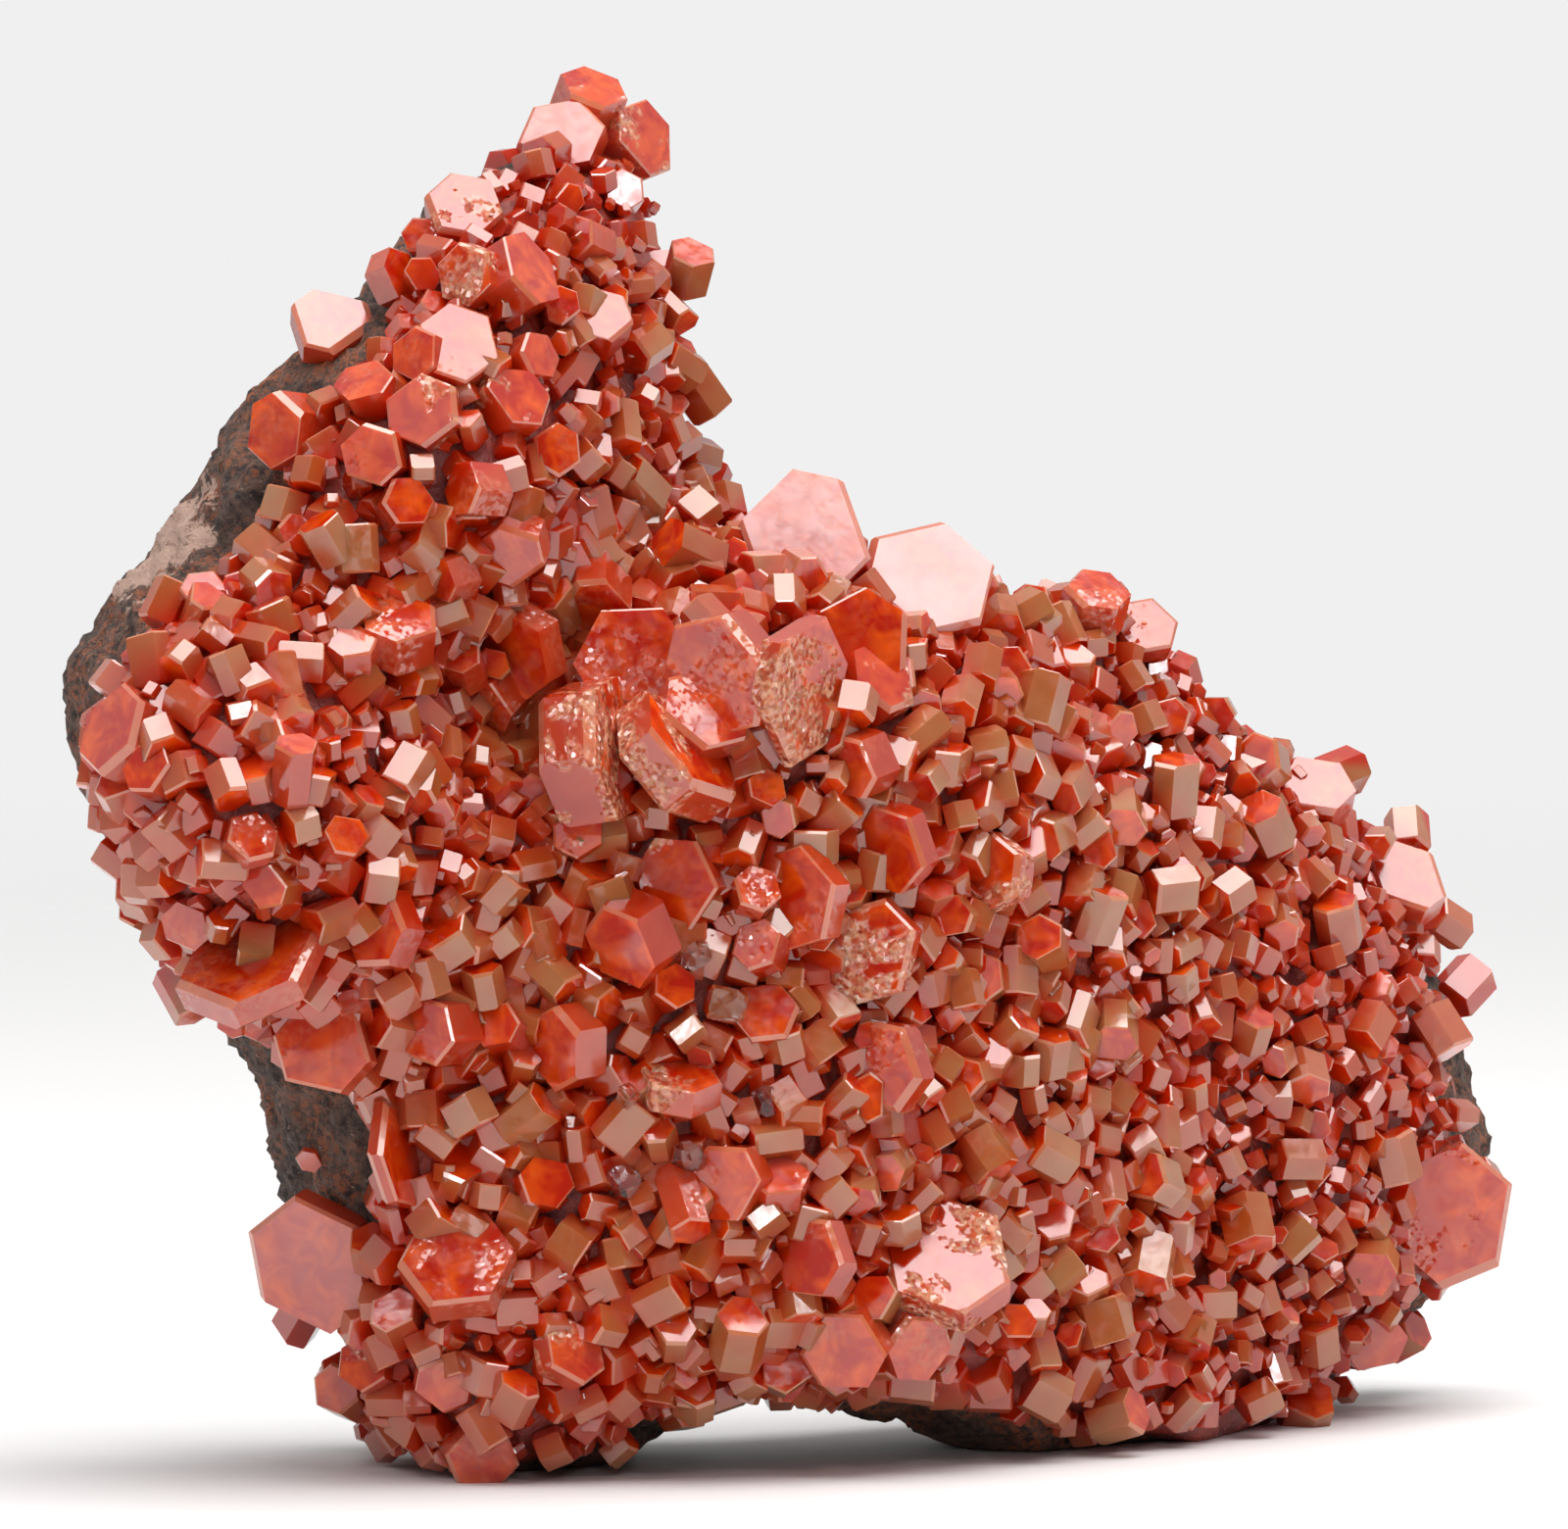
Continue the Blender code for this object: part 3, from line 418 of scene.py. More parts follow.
def place(x, y, z):
    """A point of the tables with the middle of the specimen's box moved to X = Y = 0."""
    return Vector((x - CENTRE[0], y - CENTRE[1], z))


def new_object(name, data):
    obj = bpy.data.objects.new(name, data)
    bpy.context.scene.collection.objects.link(obj)
    return obj


def object_from(name, bm):
    bmesh.ops.recalc_face_normals(bm, faces=bm.faces)
    mesh = bpy.data.meshes.new(name)
    bm.to_mesh(mesh)
    bm.free()
    return new_object(name, mesh)


def to_metres(obj):
    obj.data.transform(Matrix.Scale(MM, 4))


def evaluated(obj):
    """The mesh that an object's modifiers make."""
    depsgraph = bpy.context.evaluated_depsgraph_get()
    return bpy.data.meshes.new_from_object(obj.evaluated_get(depsgraph), depsgraph=depsgraph)


def apply_modifiers(obj):
    mesh = evaluated(obj)
    obj.modifiers.clear()
    obj.data = mesh


def remesh(obj, voxel):
    """Add a remesh to a piece, as fine as the voxel says."""
    made = obj.modifiers.new("Remesh", "REMESH")
    made.mode = "VOXEL"
    made.voxel_size = voxel


def store(mesh, name, domain, values):
    """Write one number for each point or face of a mesh."""
    mesh.attributes.new(name, "FLOAT", domain).data.foreach_set("value", values)


def drop(objects):
    for obj in objects:
        bpy.data.objects.remove(obj, do_unlink=True)


def polar_grid(outline):
    """Rings of points (x, z) around the hub, the last of them on the outline."""
    angles = [2.0 * math.pi * i / SPOKES for i in range(SPOKES)]
    spokes = [(math.cos(a), math.sin(a), reach(outline, a)) for a in angles]
    return [
        [(HUB[0] + share * far * dx, HUB[1] + share * far * dz) for dx, dz, far in spokes]
        for share in RINGS
    ]


def flat_triangles(inner, outer, i):
    """Corners of the two triangles between four grid points, split along the level line."""
    corners = [(inner, i - 1), (outer, i - 1), (outer, i), (inner, i)]
    depths = [face(*ring[k]) for ring, k in corners]
    if abs(depths[0] - depths[2]) < abs(depths[1] - depths[3]):
        return (0, 1, 2), (0, 2, 3)
    return (1, 2, 3), (1, 3, 0)


def lens(name, outline, front_at, back_at):
    """A closed slab between two depth fields, on spokes and rings around the hub."""
    bm = bmesh.new()
    grid = polar_grid(outline)
    sheets = []
    for depth_at in (front_at, back_at):
        hub = bm.verts.new(place(HUB[0], depth_at(*HUB), HUB[1]))
        rings = [[bm.verts.new(place(x, depth_at(x, z), z)) for x, z in ring] for ring in grid]
        for i in range(SPOKES):
            bm.faces.new((hub, rings[0][i - 1], rings[0][i]))
            for k in range(len(grid) - 1):
                inner, outer = rings[k], rings[k + 1]
                corners = (inner[i - 1], outer[i - 1], outer[i], inner[i])
                for triangle in flat_triangles(grid[k], grid[k + 1], i):
                    bm.faces.new([corners[c] for c in triangle])
        sheets.append(rings[-1])
    front, back = sheets
    for i in range(SPOKES):
        bm.faces.new((front[i - 1], back[i - 1], back[i], front[i]))
    bmesh.ops.triangulate(bm, faces=bm.faces)
    return object_from(name, bm)


# Places of the crystals, as in the part's source, but for the lean and trim of the medium ones

def axis_vector(direction):
    right, up, front = direction
    return Vector((right, -front, up)).normalized()


def hit_from_front(tree, x, z):
    """Point and normal of what a viewer far in front sees at (x, z), or a pair of None."""
    return tree.ray_cast(place(x, FAR_IN_FRONT, z), Vector((0.0, 1.0, 0.0)))[:2]


def crust_surface(crust):
    """A function that finds the point of the crust seen from the front at (x, z)."""
    tree = BVHTree.FromObject(crust, bpy.context.evaluated_depsgraph_get())

    def seen(x, z):
        point, normal = hit_from_front(tree, x, z)
        if point is None:
            point, normal = tree.find_nearest(place(x, crust_front(x, z), z))[:2]
        return Vector((x, point.y + CENTRE[1], z)), normal

    return seen


def proud(width, height, axis, normal):
    """Height of a crystal's centre over the crust that leaves it rooted there."""
    along = abs(axis.dot(normal))
    half = 0.5 * (along * height + math.sqrt(max(0.0, 1.0 - along ** 2)) * width)
    return SEATING * half


def large_crystal(seen, x, z, width, height, direction):
    axis = axis_vector(direction)
    point, normal = seen(x, z)
    lift = proud(width, height, axis, normal) * min(1.5, 1.0 / max(0.1, -normal.y))
    return point - Vector((0.0, lift, 0.0)), axis, width, height


def face_spot(rng, seen):
    x = rng.uniform(*ACROSS)
    z = rng.uniform(*UPWARD)
    if inset(CRUST_OUTLINE, x, z) < EDGE_ROOM:
        return None
    return seen(x, z)


def edge_spot(rng, _):
    angle = rng.uniform(0.0, 2.0 * math.pi)
    far = reach(CRUST_OUTLINE, angle)
    x, z = HUB[0] + far * math.cos(angle), HUB[1] + far * math.sin(angle)
    if inset(ROCK_OUTLINE, x, z) > 0.0 or not EDGE_UPWARD[0] < z < EDGE_UPWARD[1]:
        return None
    step = EDGE_STEP
    slope_x = inset(CRUST_OUTLINE, x + step, z) - inset(CRUST_OUTLINE, x - step, z)
    slope_z = inset(CRUST_OUTLINE, x, z + step) - inset(CRUST_OUTLINE, x, z - step)
    normal = Vector((-slope_x, -0.3, -slope_z)).normalized()
    return Vector((x, rock_front(x, z) + rng.uniform(-1.0, 1.2), z)), normal


def filler_crystals(rng, seen, taken, spot_at, count):
    """Smaller crystals, each in the emptiest of a few random places."""
    found = []
    for _ in range(count):
        spots = [spot_at(rng, seen) for _ in range(CANDIDATES)]
        room = [
            (min((spot[0] - other).length - radius for other, radius in taken), number)
            for number, spot in enumerate(spots) if spot
        ]
        point, normal = spots[max(room)[1]]
        width = rng.uniform(*FILLER_WIDTH)
        height = rng.uniform(*FILLER_HEIGHT) * width
        sideways = normal.cross(Vector([rng.uniform(-1.0, 1.0) for _ in range(3)])).normalized()
        tilt = math.radians(LEANING + (1.0 - LEANING / 90.0) * rng.uniform(*FILLER_TILT))
        axis = normal * math.cos(tilt) + sideways * math.sin(tilt)
        taken.append((point, 0.5 * width))
        found.append((point + normal * proud(width, height, axis, normal), axis, width, height))
    return found


def trimmed(crystal, share):
    centre, axis, width, height = crystal
    return centre, axis, width * share, height * share


def all_crystals(crust):
    """Centre, axis, width, height and turn of every crystal that the solid has."""
    rng = random.Random(SEED)
    seen = crust_surface(crust)
    large = [large_crystal(seen, *crystal) for crystal in LARGE_CRYSTALS]
    taken = [(centre, 0.5 * width) for centre, _, width, _ in large]
    on_face = filler_crystals(rng, seen, taken, face_spot, FACE_FILLERS)
    on_edge = filler_crystals(rng, seen, taken, edge_spot, EDGE_FILLERS)
    on_face = [trimmed(crystal, FACE_TRIM) for crystal in on_face]
    on_edge = [trimmed(crystal, EDGE_TRIM) for crystal in on_edge]
    return [crystal + (rng.uniform(0.0, math.pi / 3.0),) for crystal in large + on_face + on_edge]


# Crystals with cut edges

# The marks include the shares of painted highlight on the small edge faces and of painted reflection
# on the end faces
MARKS = ("basal", "rim", "etch", "pale", "tone")


def cut(bm, layers, point, normal, basal, rim):
    """Slice off what lies beyond a plane, and mark the new face."""
    everything = bm.verts[:] + bm.edges[:] + bm.faces[:]
    sliced = bmesh.ops.bisect_plane(
        bm, geom=everything, plane_co=point, plane_no=normal, clear_outer=True,
    )
    rim_edges = [e for e in sliced["geom_cut"] if isinstance(e, bmesh.types.BMEdge)]
    if len(rim_edges) < 3:
        return
    for new_face in bmesh.ops.contextual_create(bm, geom=rim_edges)["faces"]:
        new_face[layers["basal"]] = basal
        new_face[layers["rim"]] = rim


def crystal_body(rng, width, height, spread):
    """A hexagonal crystal along Z round the origin, its edges cut by small faces."""
    bm = bmesh.new()
    bmesh.ops.create_cube(bm, size=2.0 * max(width, height))
    layers = {name: bm.faces.layers.float.new(name) for name in MARKS}
    apothem = 0.5 * width * math.cos(math.pi / 6.0)
    sides = []
    for i in range(6):
        angle = math.pi / 3.0 * i
        out = Vector((math.cos(angle), math.sin(angle), 0.0))
        distance = apothem * (1.0 + rng.uniform(-spread, spread))
        cut(bm, layers, out * distance, out, 0.0, 0.0)
        sides.append((out, distance))
    for end in (-1.0, 1.0):
        cap = Vector((0.0, 0.0, end))
        cut(bm, layers, cap * 0.5 * height, cap, 1.0, 0.0)
    for out, distance in sides:
        for end in (-1.0, 1.0):
            if rng.random() > CHAMFER_CHANCE:
                continue
            slant = (out + Vector((0.0, 0.0, end * rng.uniform(*CHAMFER_SLANT)))).normalized()
            corner = out * distance + Vector((0.0, 0.0, end * 0.5 * height))
            depth = width * rng.uniform(*CHAMFER)
            # The small faces that cut the edges are marked for the painted highlight
            cut(bm, layers, corner - slant * depth, slant, 0.3, 1.0)
    return bm


class Pile:
    """Crystals gathered for one mesh, with the marks on each face that the materials read."""

    def __init__(self):
        self.points, self.faces = [], []
        self.marks = {name: [] for name in MARKS}

    def add(self, bm, **whole):
        """Add one crystal and free it. A mark given here holds for all of its faces."""
        start = len(self.points)
        bm.verts.index_update()
        self.points += [vert.co.copy() for vert in bm.verts]
        self.faces += [[start + vert.index for vert in f.verts] for f in bm.faces]
        for name in MARKS:
            layer = bm.faces.layers.float[name]
            self.marks[name] += [whole.get(name, f[layer]) for f in bm.faces]
        bm.free()

    def mesh(self, name):
        mesh = bpy.data.meshes.new(name)
        mesh.from_pydata(self.points, [], self.faces)
        for label, values in self.marks.items():
            store(mesh, label, "FACE", values)
        return mesh


def keep_above_floor(bm):
    """Cut a crystal off level where it would reach below the surface it stands on."""
    if min(vert.co.z for vert in bm.verts) < 0.0:
        layers = {name: bm.faces.layers.float[name] for name in MARKS}
        cut(bm, layers, Vector(), Vector((0.0, 0.0, -1.0)), 0.0, 0.0)


def pose_of(centre, axis, turn):
    rotation = axis.to_track_quat("Z", "Y").to_matrix().to_4x4()
    return Matrix.Translation(centre) @ rotation @ Matrix.Rotation(turn, 4, "Z")


# Pieces

def rock_relief(at):
    """How far the worn rock stands out at a point: swells and grain, less pits and furrows."""
    height = ROCK_SWELL * noise.fractal(at * 0.6, 0.75, 2.1, 5)
    height -= ROCK_PIT * max(0.0, noise.noise(at * 0.45 + Vector((7.0, 3.0, 1.0))) - 0.15)
    height -= ROCK_FURROW * abs(noise.noise(at * 1.3 + Vector((2.0, 9.0, 4.0))))
    height += ROCK_GRAIN * noise.noise(at * 4.1)
    return height


def rough_rock(solid):
    """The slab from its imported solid, worn round and given its fine broken grain."""
    bm = bmesh.new()
    bm.from_mesh(solid.data)
    bm.transform(Matrix.Scale(1.0 / MM, 4))
    bmesh.ops.remove_doubles(bm, verts=bm.verts, dist=0.001)
    rock = object_from("dark_rock", bm)
    remesh(rock, ROCK_VOXEL)
    worn = rock.modifiers.new("Worn", "SMOOTH")
    worn.factor = 0.5
    worn.iterations = 8
    apply_modifiers(rock)
    normals = [vert.normal.copy() for vert in rock.data.vertices]
    for vert, normal in zip(rock.data.vertices, normals):
        at = vert.co.copy()
        share = smooth((at.z - RELIEF_FROM) / RELIEF_SPAN)
        vert.co = at + normal * (rock_relief(at) * share)
        vert.co.z = max(0.0, vert.co.z)
    rock.data.shade_smooth()
    return rock


def crust_ground(coarse, crystals):
    """The red ground between the crystals, with how much room and growth there is for them."""
    ground = new_object("crust_ground", coarse.data.copy())
    remesh(ground, CRUST_VOXEL)
    apply_modifiers(ground)
    mesh = ground.data
    sunk = []
    for vert in mesh.vertices:
        depth = CRUST_SINK + CRUST_UNEVEN * noise.noise(vert.co * 0.8)
        sunk.append(vert.co - vert.normal * depth)
    for vert, co in zip(mesh.vertices, sunk):
        vert.co = Vector((co.x, co.y, max(0.0, co.z)))
    store(mesh, "room", "POINT", [room_at(vert.co, crystals) for vert in mesh.vertices])
    store(mesh, "growth", "POINT", [growth_at(vert.co) for vert in mesh.vertices])
    mesh.shade_smooth()
    return ground


def room_at(point, crystals):
    """0 inside the rock, near the floor and within another crystal, otherwise 1."""
    x, y, z = point.x + CENTRE[0], point.y + CENTRE[1], point.z
    if z < FLOOR_ROOM:
        return 0.0
    if y > rock_front(x, z) + ROCK_ROOM and inset(ROCK_OUTLINE, x, z) > RIM_ROOM:
        return 0.0
    for centre, axis, width, height, _ in crystals:
        offset = point - place(*centre)
        along = offset.dot(axis)
        aside = (offset - axis * along).length
        if abs(along) < 0.5 * height + 0.1 and aside < CRYSTAL_ROOM * width:
            return 0.0
    return 1.0


def growth_at(point):
    """The crystals are smaller on the limb and towards the far right."""
    limb = smooth((point.z - 26.0) / 6.0)
    right = smooth((point.x - 4.0) / 12.0)
    return 1.0 - LIMB_GROWTH * limb - RIGHT_GROWTH * right


def crystal_meshes(crystals):
    """The listed crystals, and the medium ones that stand between them."""
    rng = random.Random(SEED)
    large, medium = Pile(), Pile()
    for number, (centre, axis, width, height, turn) in enumerate(crystals):
        body = crystal_body(rng, width, height, SIDE_SPREAD)
        body.transform(pose_of(place(*centre), axis, turn))
        keep_above_floor(body)
        if number < len(LARGE_CRYSTALS):
            key = LARGE_CRYSTALS[number][:2]
            etch = 1.0 if key in ETCHED else 0.0 if key in PAINTED_REFLECTION_FACES else SLIGHT_ETCH * rng.random()
            # The end faces of some listed crystals get a painted pale pink reflection
            large.add(body, tone=rng.random(), etch=etch, pale=PAINTED_REFLECTION_FACES.get(key, 0.0))
        else:
            medium.add(body, tone=rng.random())
    return large.mesh("large_crystals"), medium.mesh("medium_crystals")


def crystal_shapes():
    """A few blocky crystals one millimetre wide, in a collection of their own."""
    rng = random.Random(SEED + 1)
    group = bpy.data.collections.new("blocky_shapes")
    bpy.context.scene.collection.children.link(group)
    for number in range(BLOCKY_SHAPES):
        pile = Pile()
        body = crystal_body(rng, 1.0, rng.uniform(*BLOCKY_HEIGHT), 2.0 * SIDE_SPREAD)
        body.transform(Matrix.Rotation(rng.uniform(0.0, math.pi / 3.0), 4, "Z"))
        pile.add(body, etch=0.0)
        name = "blocky_shape_%d" % number
        group.objects.link(bpy.data.objects.new(name, pile.mesh(name)))
    return group


def put(tree, kind, sockets=None, **settings):
    """A node with its settings made, and its sockets set to values or linked to others."""
    made = tree.nodes.new(kind)
    for name, value in settings.items():
        setattr(made, name, value)
    for key, value in (sockets or {}).items():
        if isinstance(value, bpy.types.NodeSocket):
            tree.links.new(value, made.inputs[key])
        else:
            made.inputs[key].default_value = value
    return made


def scatter_tree(shapes, material):
    """Geometry Nodes that stand crystals at random on a surface."""
    tree = bpy.data.node_groups.new("scattered_crystals", "GeometryNodeTree")
    sockets = tree.interface
    sockets.new_socket("Surface", in_out="INPUT", socket_type="NodeSocketGeometry")
    for label in ("Spacing", "Least Width", "Greatest Width", "Least Lift", "Greatest Lift",
                  "Least Lean", "Greatest Lean"):
        sockets.new_socket(label, in_out="INPUT", socket_type="NodeSocketFloat")
    sockets.new_socket("Seed", in_out="INPUT", socket_type="NodeSocketInt")
    sockets.new_socket("Crystals", in_out="OUTPUT", socket_type="NodeSocketGeometry")
    given = put(tree, "NodeGroupInput").outputs

    def chance(low, high, offset):
        seed = put(tree, "FunctionNodeIntegerMath", {0: given["Seed"], 1: offset}, operation="ADD")
        made = put(tree, "FunctionNodeRandomValue", {
            2: low, 3: high, "Seed": seed.outputs[0],
        }, data_type="FLOAT")
        return made.outputs[1]

    room = put(tree, "GeometryNodeInputNamedAttribute", {"Name": "room"}, data_type="FLOAT")
    growth = put(tree, "GeometryNodeInputNamedAttribute", {"Name": "growth"}, data_type="FLOAT")
    points = put(tree, "GeometryNodeDistributePointsOnFaces", {
        "Mesh": given["Surface"], "Distance Min": given["Spacing"], "Density Max": 8.0,
        "Density Factor": room.outputs["Attribute"], "Seed": given["Seed"],
    }, distribute_method="POISSON")
    lift = put(tree, "ShaderNodeVectorMath", {
        0: points.outputs["Normal"], "Scale": chance(given["Least Lift"], given["Greatest Lift"], 1),
    }, operation="SCALE")
    lifted = put(tree, "GeometryNodeSetPosition", {
        "Geometry": points.outputs["Points"], "Offset": lift.outputs[0],
    })
    size = put(tree, "ShaderNodeMath", {
        0: chance(given["Least Width"], given["Greatest Width"], 2),
        1: growth.outputs["Attribute"],
    }, operation="MULTIPLY")
    lean = put(tree, "ShaderNodeCombineXYZ", {
        0: chance(given["Least Lean"], given["Greatest Lean"], 3), 2: chance(0.0, 2.0 * math.pi, 4),
    })
    turned = put(tree, "FunctionNodeRotateRotation", {
        0: points.outputs["Rotation"], 1: lean.outputs[0],
    }, rotation_space="LOCAL")
    pick = put(tree, "FunctionNodeRandomValue", {
        4: 0, 5: BLOCKY_SHAPES - 1, "Seed": given["Seed"],
    }, data_type="INT")
    choice = put(tree, "GeometryNodeCollectionInfo", {
        "Collection": shapes, "Separate Children": True, "Reset Children": True,
    })
    stood = put(tree, "GeometryNodeInstanceOnPoints", {
        "Points": lifted.outputs[0], "Instance": choice.outputs[0], "Pick Instance": True,
        "Instance Index": pick.outputs[2], "Rotation": turned.outputs[0],
        "Scale": size.outputs[0],
    })
    toned = put(tree, "GeometryNodeStoreNamedAttribute", {
        "Geometry": stood.outputs[0], "Name": "shade", "Value": chance(0.0, 1.0, 9),
    }, data_type="FLOAT", domain="INSTANCE")
    real = put(tree, "GeometryNodeRealizeInstances", {"Geometry": toned.outputs[0]})
    coloured = put(tree, "GeometryNodeSetMaterial", {
        "Geometry": real.outputs[0], "Material": material,
    })
    put(tree, "NodeGroupOutput", {"Crystals": coloured.outputs[0]})
    return tree


def scattered(name, ground, tree, settings):
    """Run the tree on the ground and keep what it makes as a piece of its own."""
    growing = ground.modifiers.new("Growing", "NODES")
    growing.node_group = tree
    for item in tree.interface.items_tree:
        if item.in_out == "INPUT" and item.name in settings:
            growing[item.identifier] = settings[item.name]
    ground.update_tag()
    mesh = evaluated(ground)
    ground.modifiers.remove(growing)
    mesh.name = name
    return new_object(name, mesh)


def blush_at(point):
    """1 in the middle of a pinkish red region, falling to 0 at its edge."""
    x, z = point.x + CENTRE[0], point.z
    return max(smooth(1.5 - 1.5 * math.hypot(x - bx, z - bz) / size) for bx, bz, size in BLUSHES)


def recess_shade_at(tree, point):
    """Share of painted shade: 1 at the ground and below it, falling to 0 well above it."""
    spot, normal, _, distance = tree.find_nearest(point)
    outside = (point - spot).dot(normal) > 0.0
    return max(0.0, 1.0 - distance / RECESS_SHADE_REACH) if outside else 1.0


def mark_shade_and_blush(obj, ground):
    """Mark each corner of some crystals with its share of painted shade near the ground, and its
    blush.
    """
    tree = BVHTree.FromObject(ground, bpy.context.evaluated_depsgraph_get())
    corners = obj.data.vertices
    store(obj.data, "deep", "POINT", [recess_shade_at(tree, vert.co) for vert in corners])
    store(obj.data, "blush", "POINT", [blush_at(vert.co) for vert in corners])


def lone_plate_object():
    """The plate that stands by itself on bare rock."""
    x, z, width, height, direction = LONE_PLATE
    rng = random.Random(SEED + 2)
    pile = Pile()
    body = crystal_body(rng, width, height, SIDE_SPREAD)
    body.transform(pose_of(place(x, rock_front(x, z) - 0.5, z), axis_vector(direction), PLATE_TURN))
    # Its end faces get a little painted pale pink reflection
    pile.add(body, tone=0.4, etch=0.1, pale=0.2)
    return new_object("bright_plate", pile.mesh("bright_plate"))


def seen_from_front(objects):
    """A function that finds the foremost point of some pieces at (x, z), and its slope."""
    depsgraph = bpy.context.evaluated_depsgraph_get()
    trees = [BVHTree.FromObject(obj, depsgraph) for obj in objects]

    def seen(x, z):
        hits = [hit_from_front(tree, x, z) for tree in trees]
        return min((hit for hit in hits if hit[0]), key=lambda hit: hit[0].y)

    return seen


def flake_object(rock):
    """A tiny thin plate on the bare rock."""
    x, z, width, height = FLAKE
    point, slope = seen_from_front([rock])(x, z)
    pile = Pile()
    body = crystal_body(random.Random(SEED + 3), width, height, SIDE_SPREAD)
    body.transform(pose_of(point + slope * 0.3 * height, slope, FLAKE_TURN))
    # Its end faces get a painted pale pink reflection
    pile.add(body, tone=0.3, etch=0.0, pale=0.6)
    return new_object("flake", pile.mesh("flake"))


def grain_body(rng, width):
    """A clear broken grain, cut by planes on all sides."""
    bm = bmesh.new()
    bmesh.ops.create_cube(bm, size=2.0 * width)
    layers = {name: bm.faces.layers.float.new(name) for name in MARKS}
    for number in range(GRAIN_FACETS):
        up = 1.0 - 2.0 * (number + 0.5) / GRAIN_FACETS
        around = GOLDEN_ANGLE * number + rng.uniform(-0.4, 0.4)
        flat = math.sqrt(1.0 - up * up)
        out = Vector((flat * math.cos(around), flat * math.sin(around), up))
        cut(bm, layers, out * width * rng.uniform(*GRAIN_CUT), out, 0.0, 0.0)
    return bm


def grains_object(pieces):
    """The few colourless grains that sit among the red crystals."""
    rng = random.Random(SEED + 4)
    seen = seen_from_front(pieces)
    pile = Pile()
    for x, z, width in CLEAR_GRAINS:
        point, _ = seen(x, z)
        body = grain_body(rng, width)
        turn = Euler([rng.uniform(0.0, 6.0) for _ in range(3)]).to_matrix().to_4x4()
        body.transform(Matrix.Translation(point - Vector((0.0, GRAIN_PROUD * width, 0.0))) @ turn)
        pile.add(body)
    return new_object("clear_grains", pile.mesh("clear_grains"))


# Materials

def maths(tree, operation, first, second=0.0, clamp=False):
    return put(tree, "ShaderNodeMath", {0: first, 1: second},
               operation=operation, use_clamp=clamp).outputs[0]


def blend_colours(tree, share, first, second, mode="MIX"):
    made = put(tree, "ShaderNodeMix", {0: share, 6: first, 7: second},
               data_type="RGBA", blend_type=mode)
    return made.outputs[2]


def ramp(tree, value, low, high, start=0.0, end=1.0):
    return put(tree, "ShaderNodeMapRange", {
        "Value": value, "From Min": low, "From Max": high, "To Min": start, "To Max": end,
    }).outputs[0]


def mark(tree, name):
    return put(tree, "ShaderNodeAttribute", attribute_name=name).outputs["Fac"]


def vectors(tree, operation, first, second=(0.0, 0.0, 0.0), output="Vector"):
    made = put(tree, "ShaderNodeVectorMath", {0: first, 1: second}, operation=operation)
    return made.outputs[output]


def own_place(tree):
    """Where a point is in the object's own coordinates."""
    return put(tree, "ShaderNodeTexCoord").outputs["Object"]


def cloud(tree, per_mm, detail=2.0, roughness=0.5, warp=0.0):
    """Noise on the object's own coordinates, its scale in waves a millimetre."""
    return put(tree, "ShaderNodeTexNoise", {
        "Vector": own_place(tree), "Scale": per_mm / MM, "Detail": detail,
        "Roughness": roughness, "Distortion": warp,
    }).outputs[0]


def new_group(name, inputs, outputs):
    """A shader node group with its own input and output nodes."""
    tree = bpy.data.node_groups.new(name, "ShaderNodeTree")
    for label, kind, value in inputs:
        tree.interface.new_socket(label, in_out="INPUT", socket_type=kind).default_value = value
    for label, kind in outputs:
        tree.interface.new_socket(label, in_out="OUTPUT", socket_type=kind)
    return tree, put(tree, "NodeGroupInput").outputs, put(tree, "NodeGroupOutput")


def clean_faces(tree, given):
    """Caramel side faces and orange-red end faces, with a painted highlight on the small faces that
    cut the edges and painted shade, a deeper red, towards the ground.
    """
    tone = maths(tree, "ADD", mark(tree, "tone"), mark(tree, "shade"), clamp=True)
    mist = ramp(tree, cloud(tree, 0.55), 0.35, 0.65, 0.0, 0.5)
    share = maths(tree, "ADD", mist, maths(tree, "MULTIPLY", tone, 0.5), clamp=True)
    side = blend_colours(tree, share, given["Side"], given["Side Deep"])
    blush = maths(tree, "MULTIPLY", mark(tree, "blush"), BLUSH_SHARE)
    side = blend_colours(tree, blush, side, BLUSH_RED)
    glow = ramp(tree, cloud(tree, 1.1, 2.0, 0.6, 0.6), 0.38, 0.7)
    end = blend_colours(tree, glow, given["End"], given["End Bright"])
    body = blend_colours(tree, mark(tree, "basal"), side, end)
    # Painted highlight: the small faces that cut the edges are tinted golden pink
    rim = maths(tree, "MULTIPLY", mark(tree, "rim"), EDGE_HIGHLIGHT_SHARE)
    body = blend_colours(tree, rim, body, EDGE_HIGHLIGHT_AND_ETCH_GOLD)
    # Painted shade: the crystals turn a deeper red near the ground between them
    deep = ramp(tree, mark(tree, "deep"), 0.1, 0.65, 0.0, RECESS_SHADE_SHARE)
    return blend_colours(tree, deep, body, RECESS_SHADE_RED)


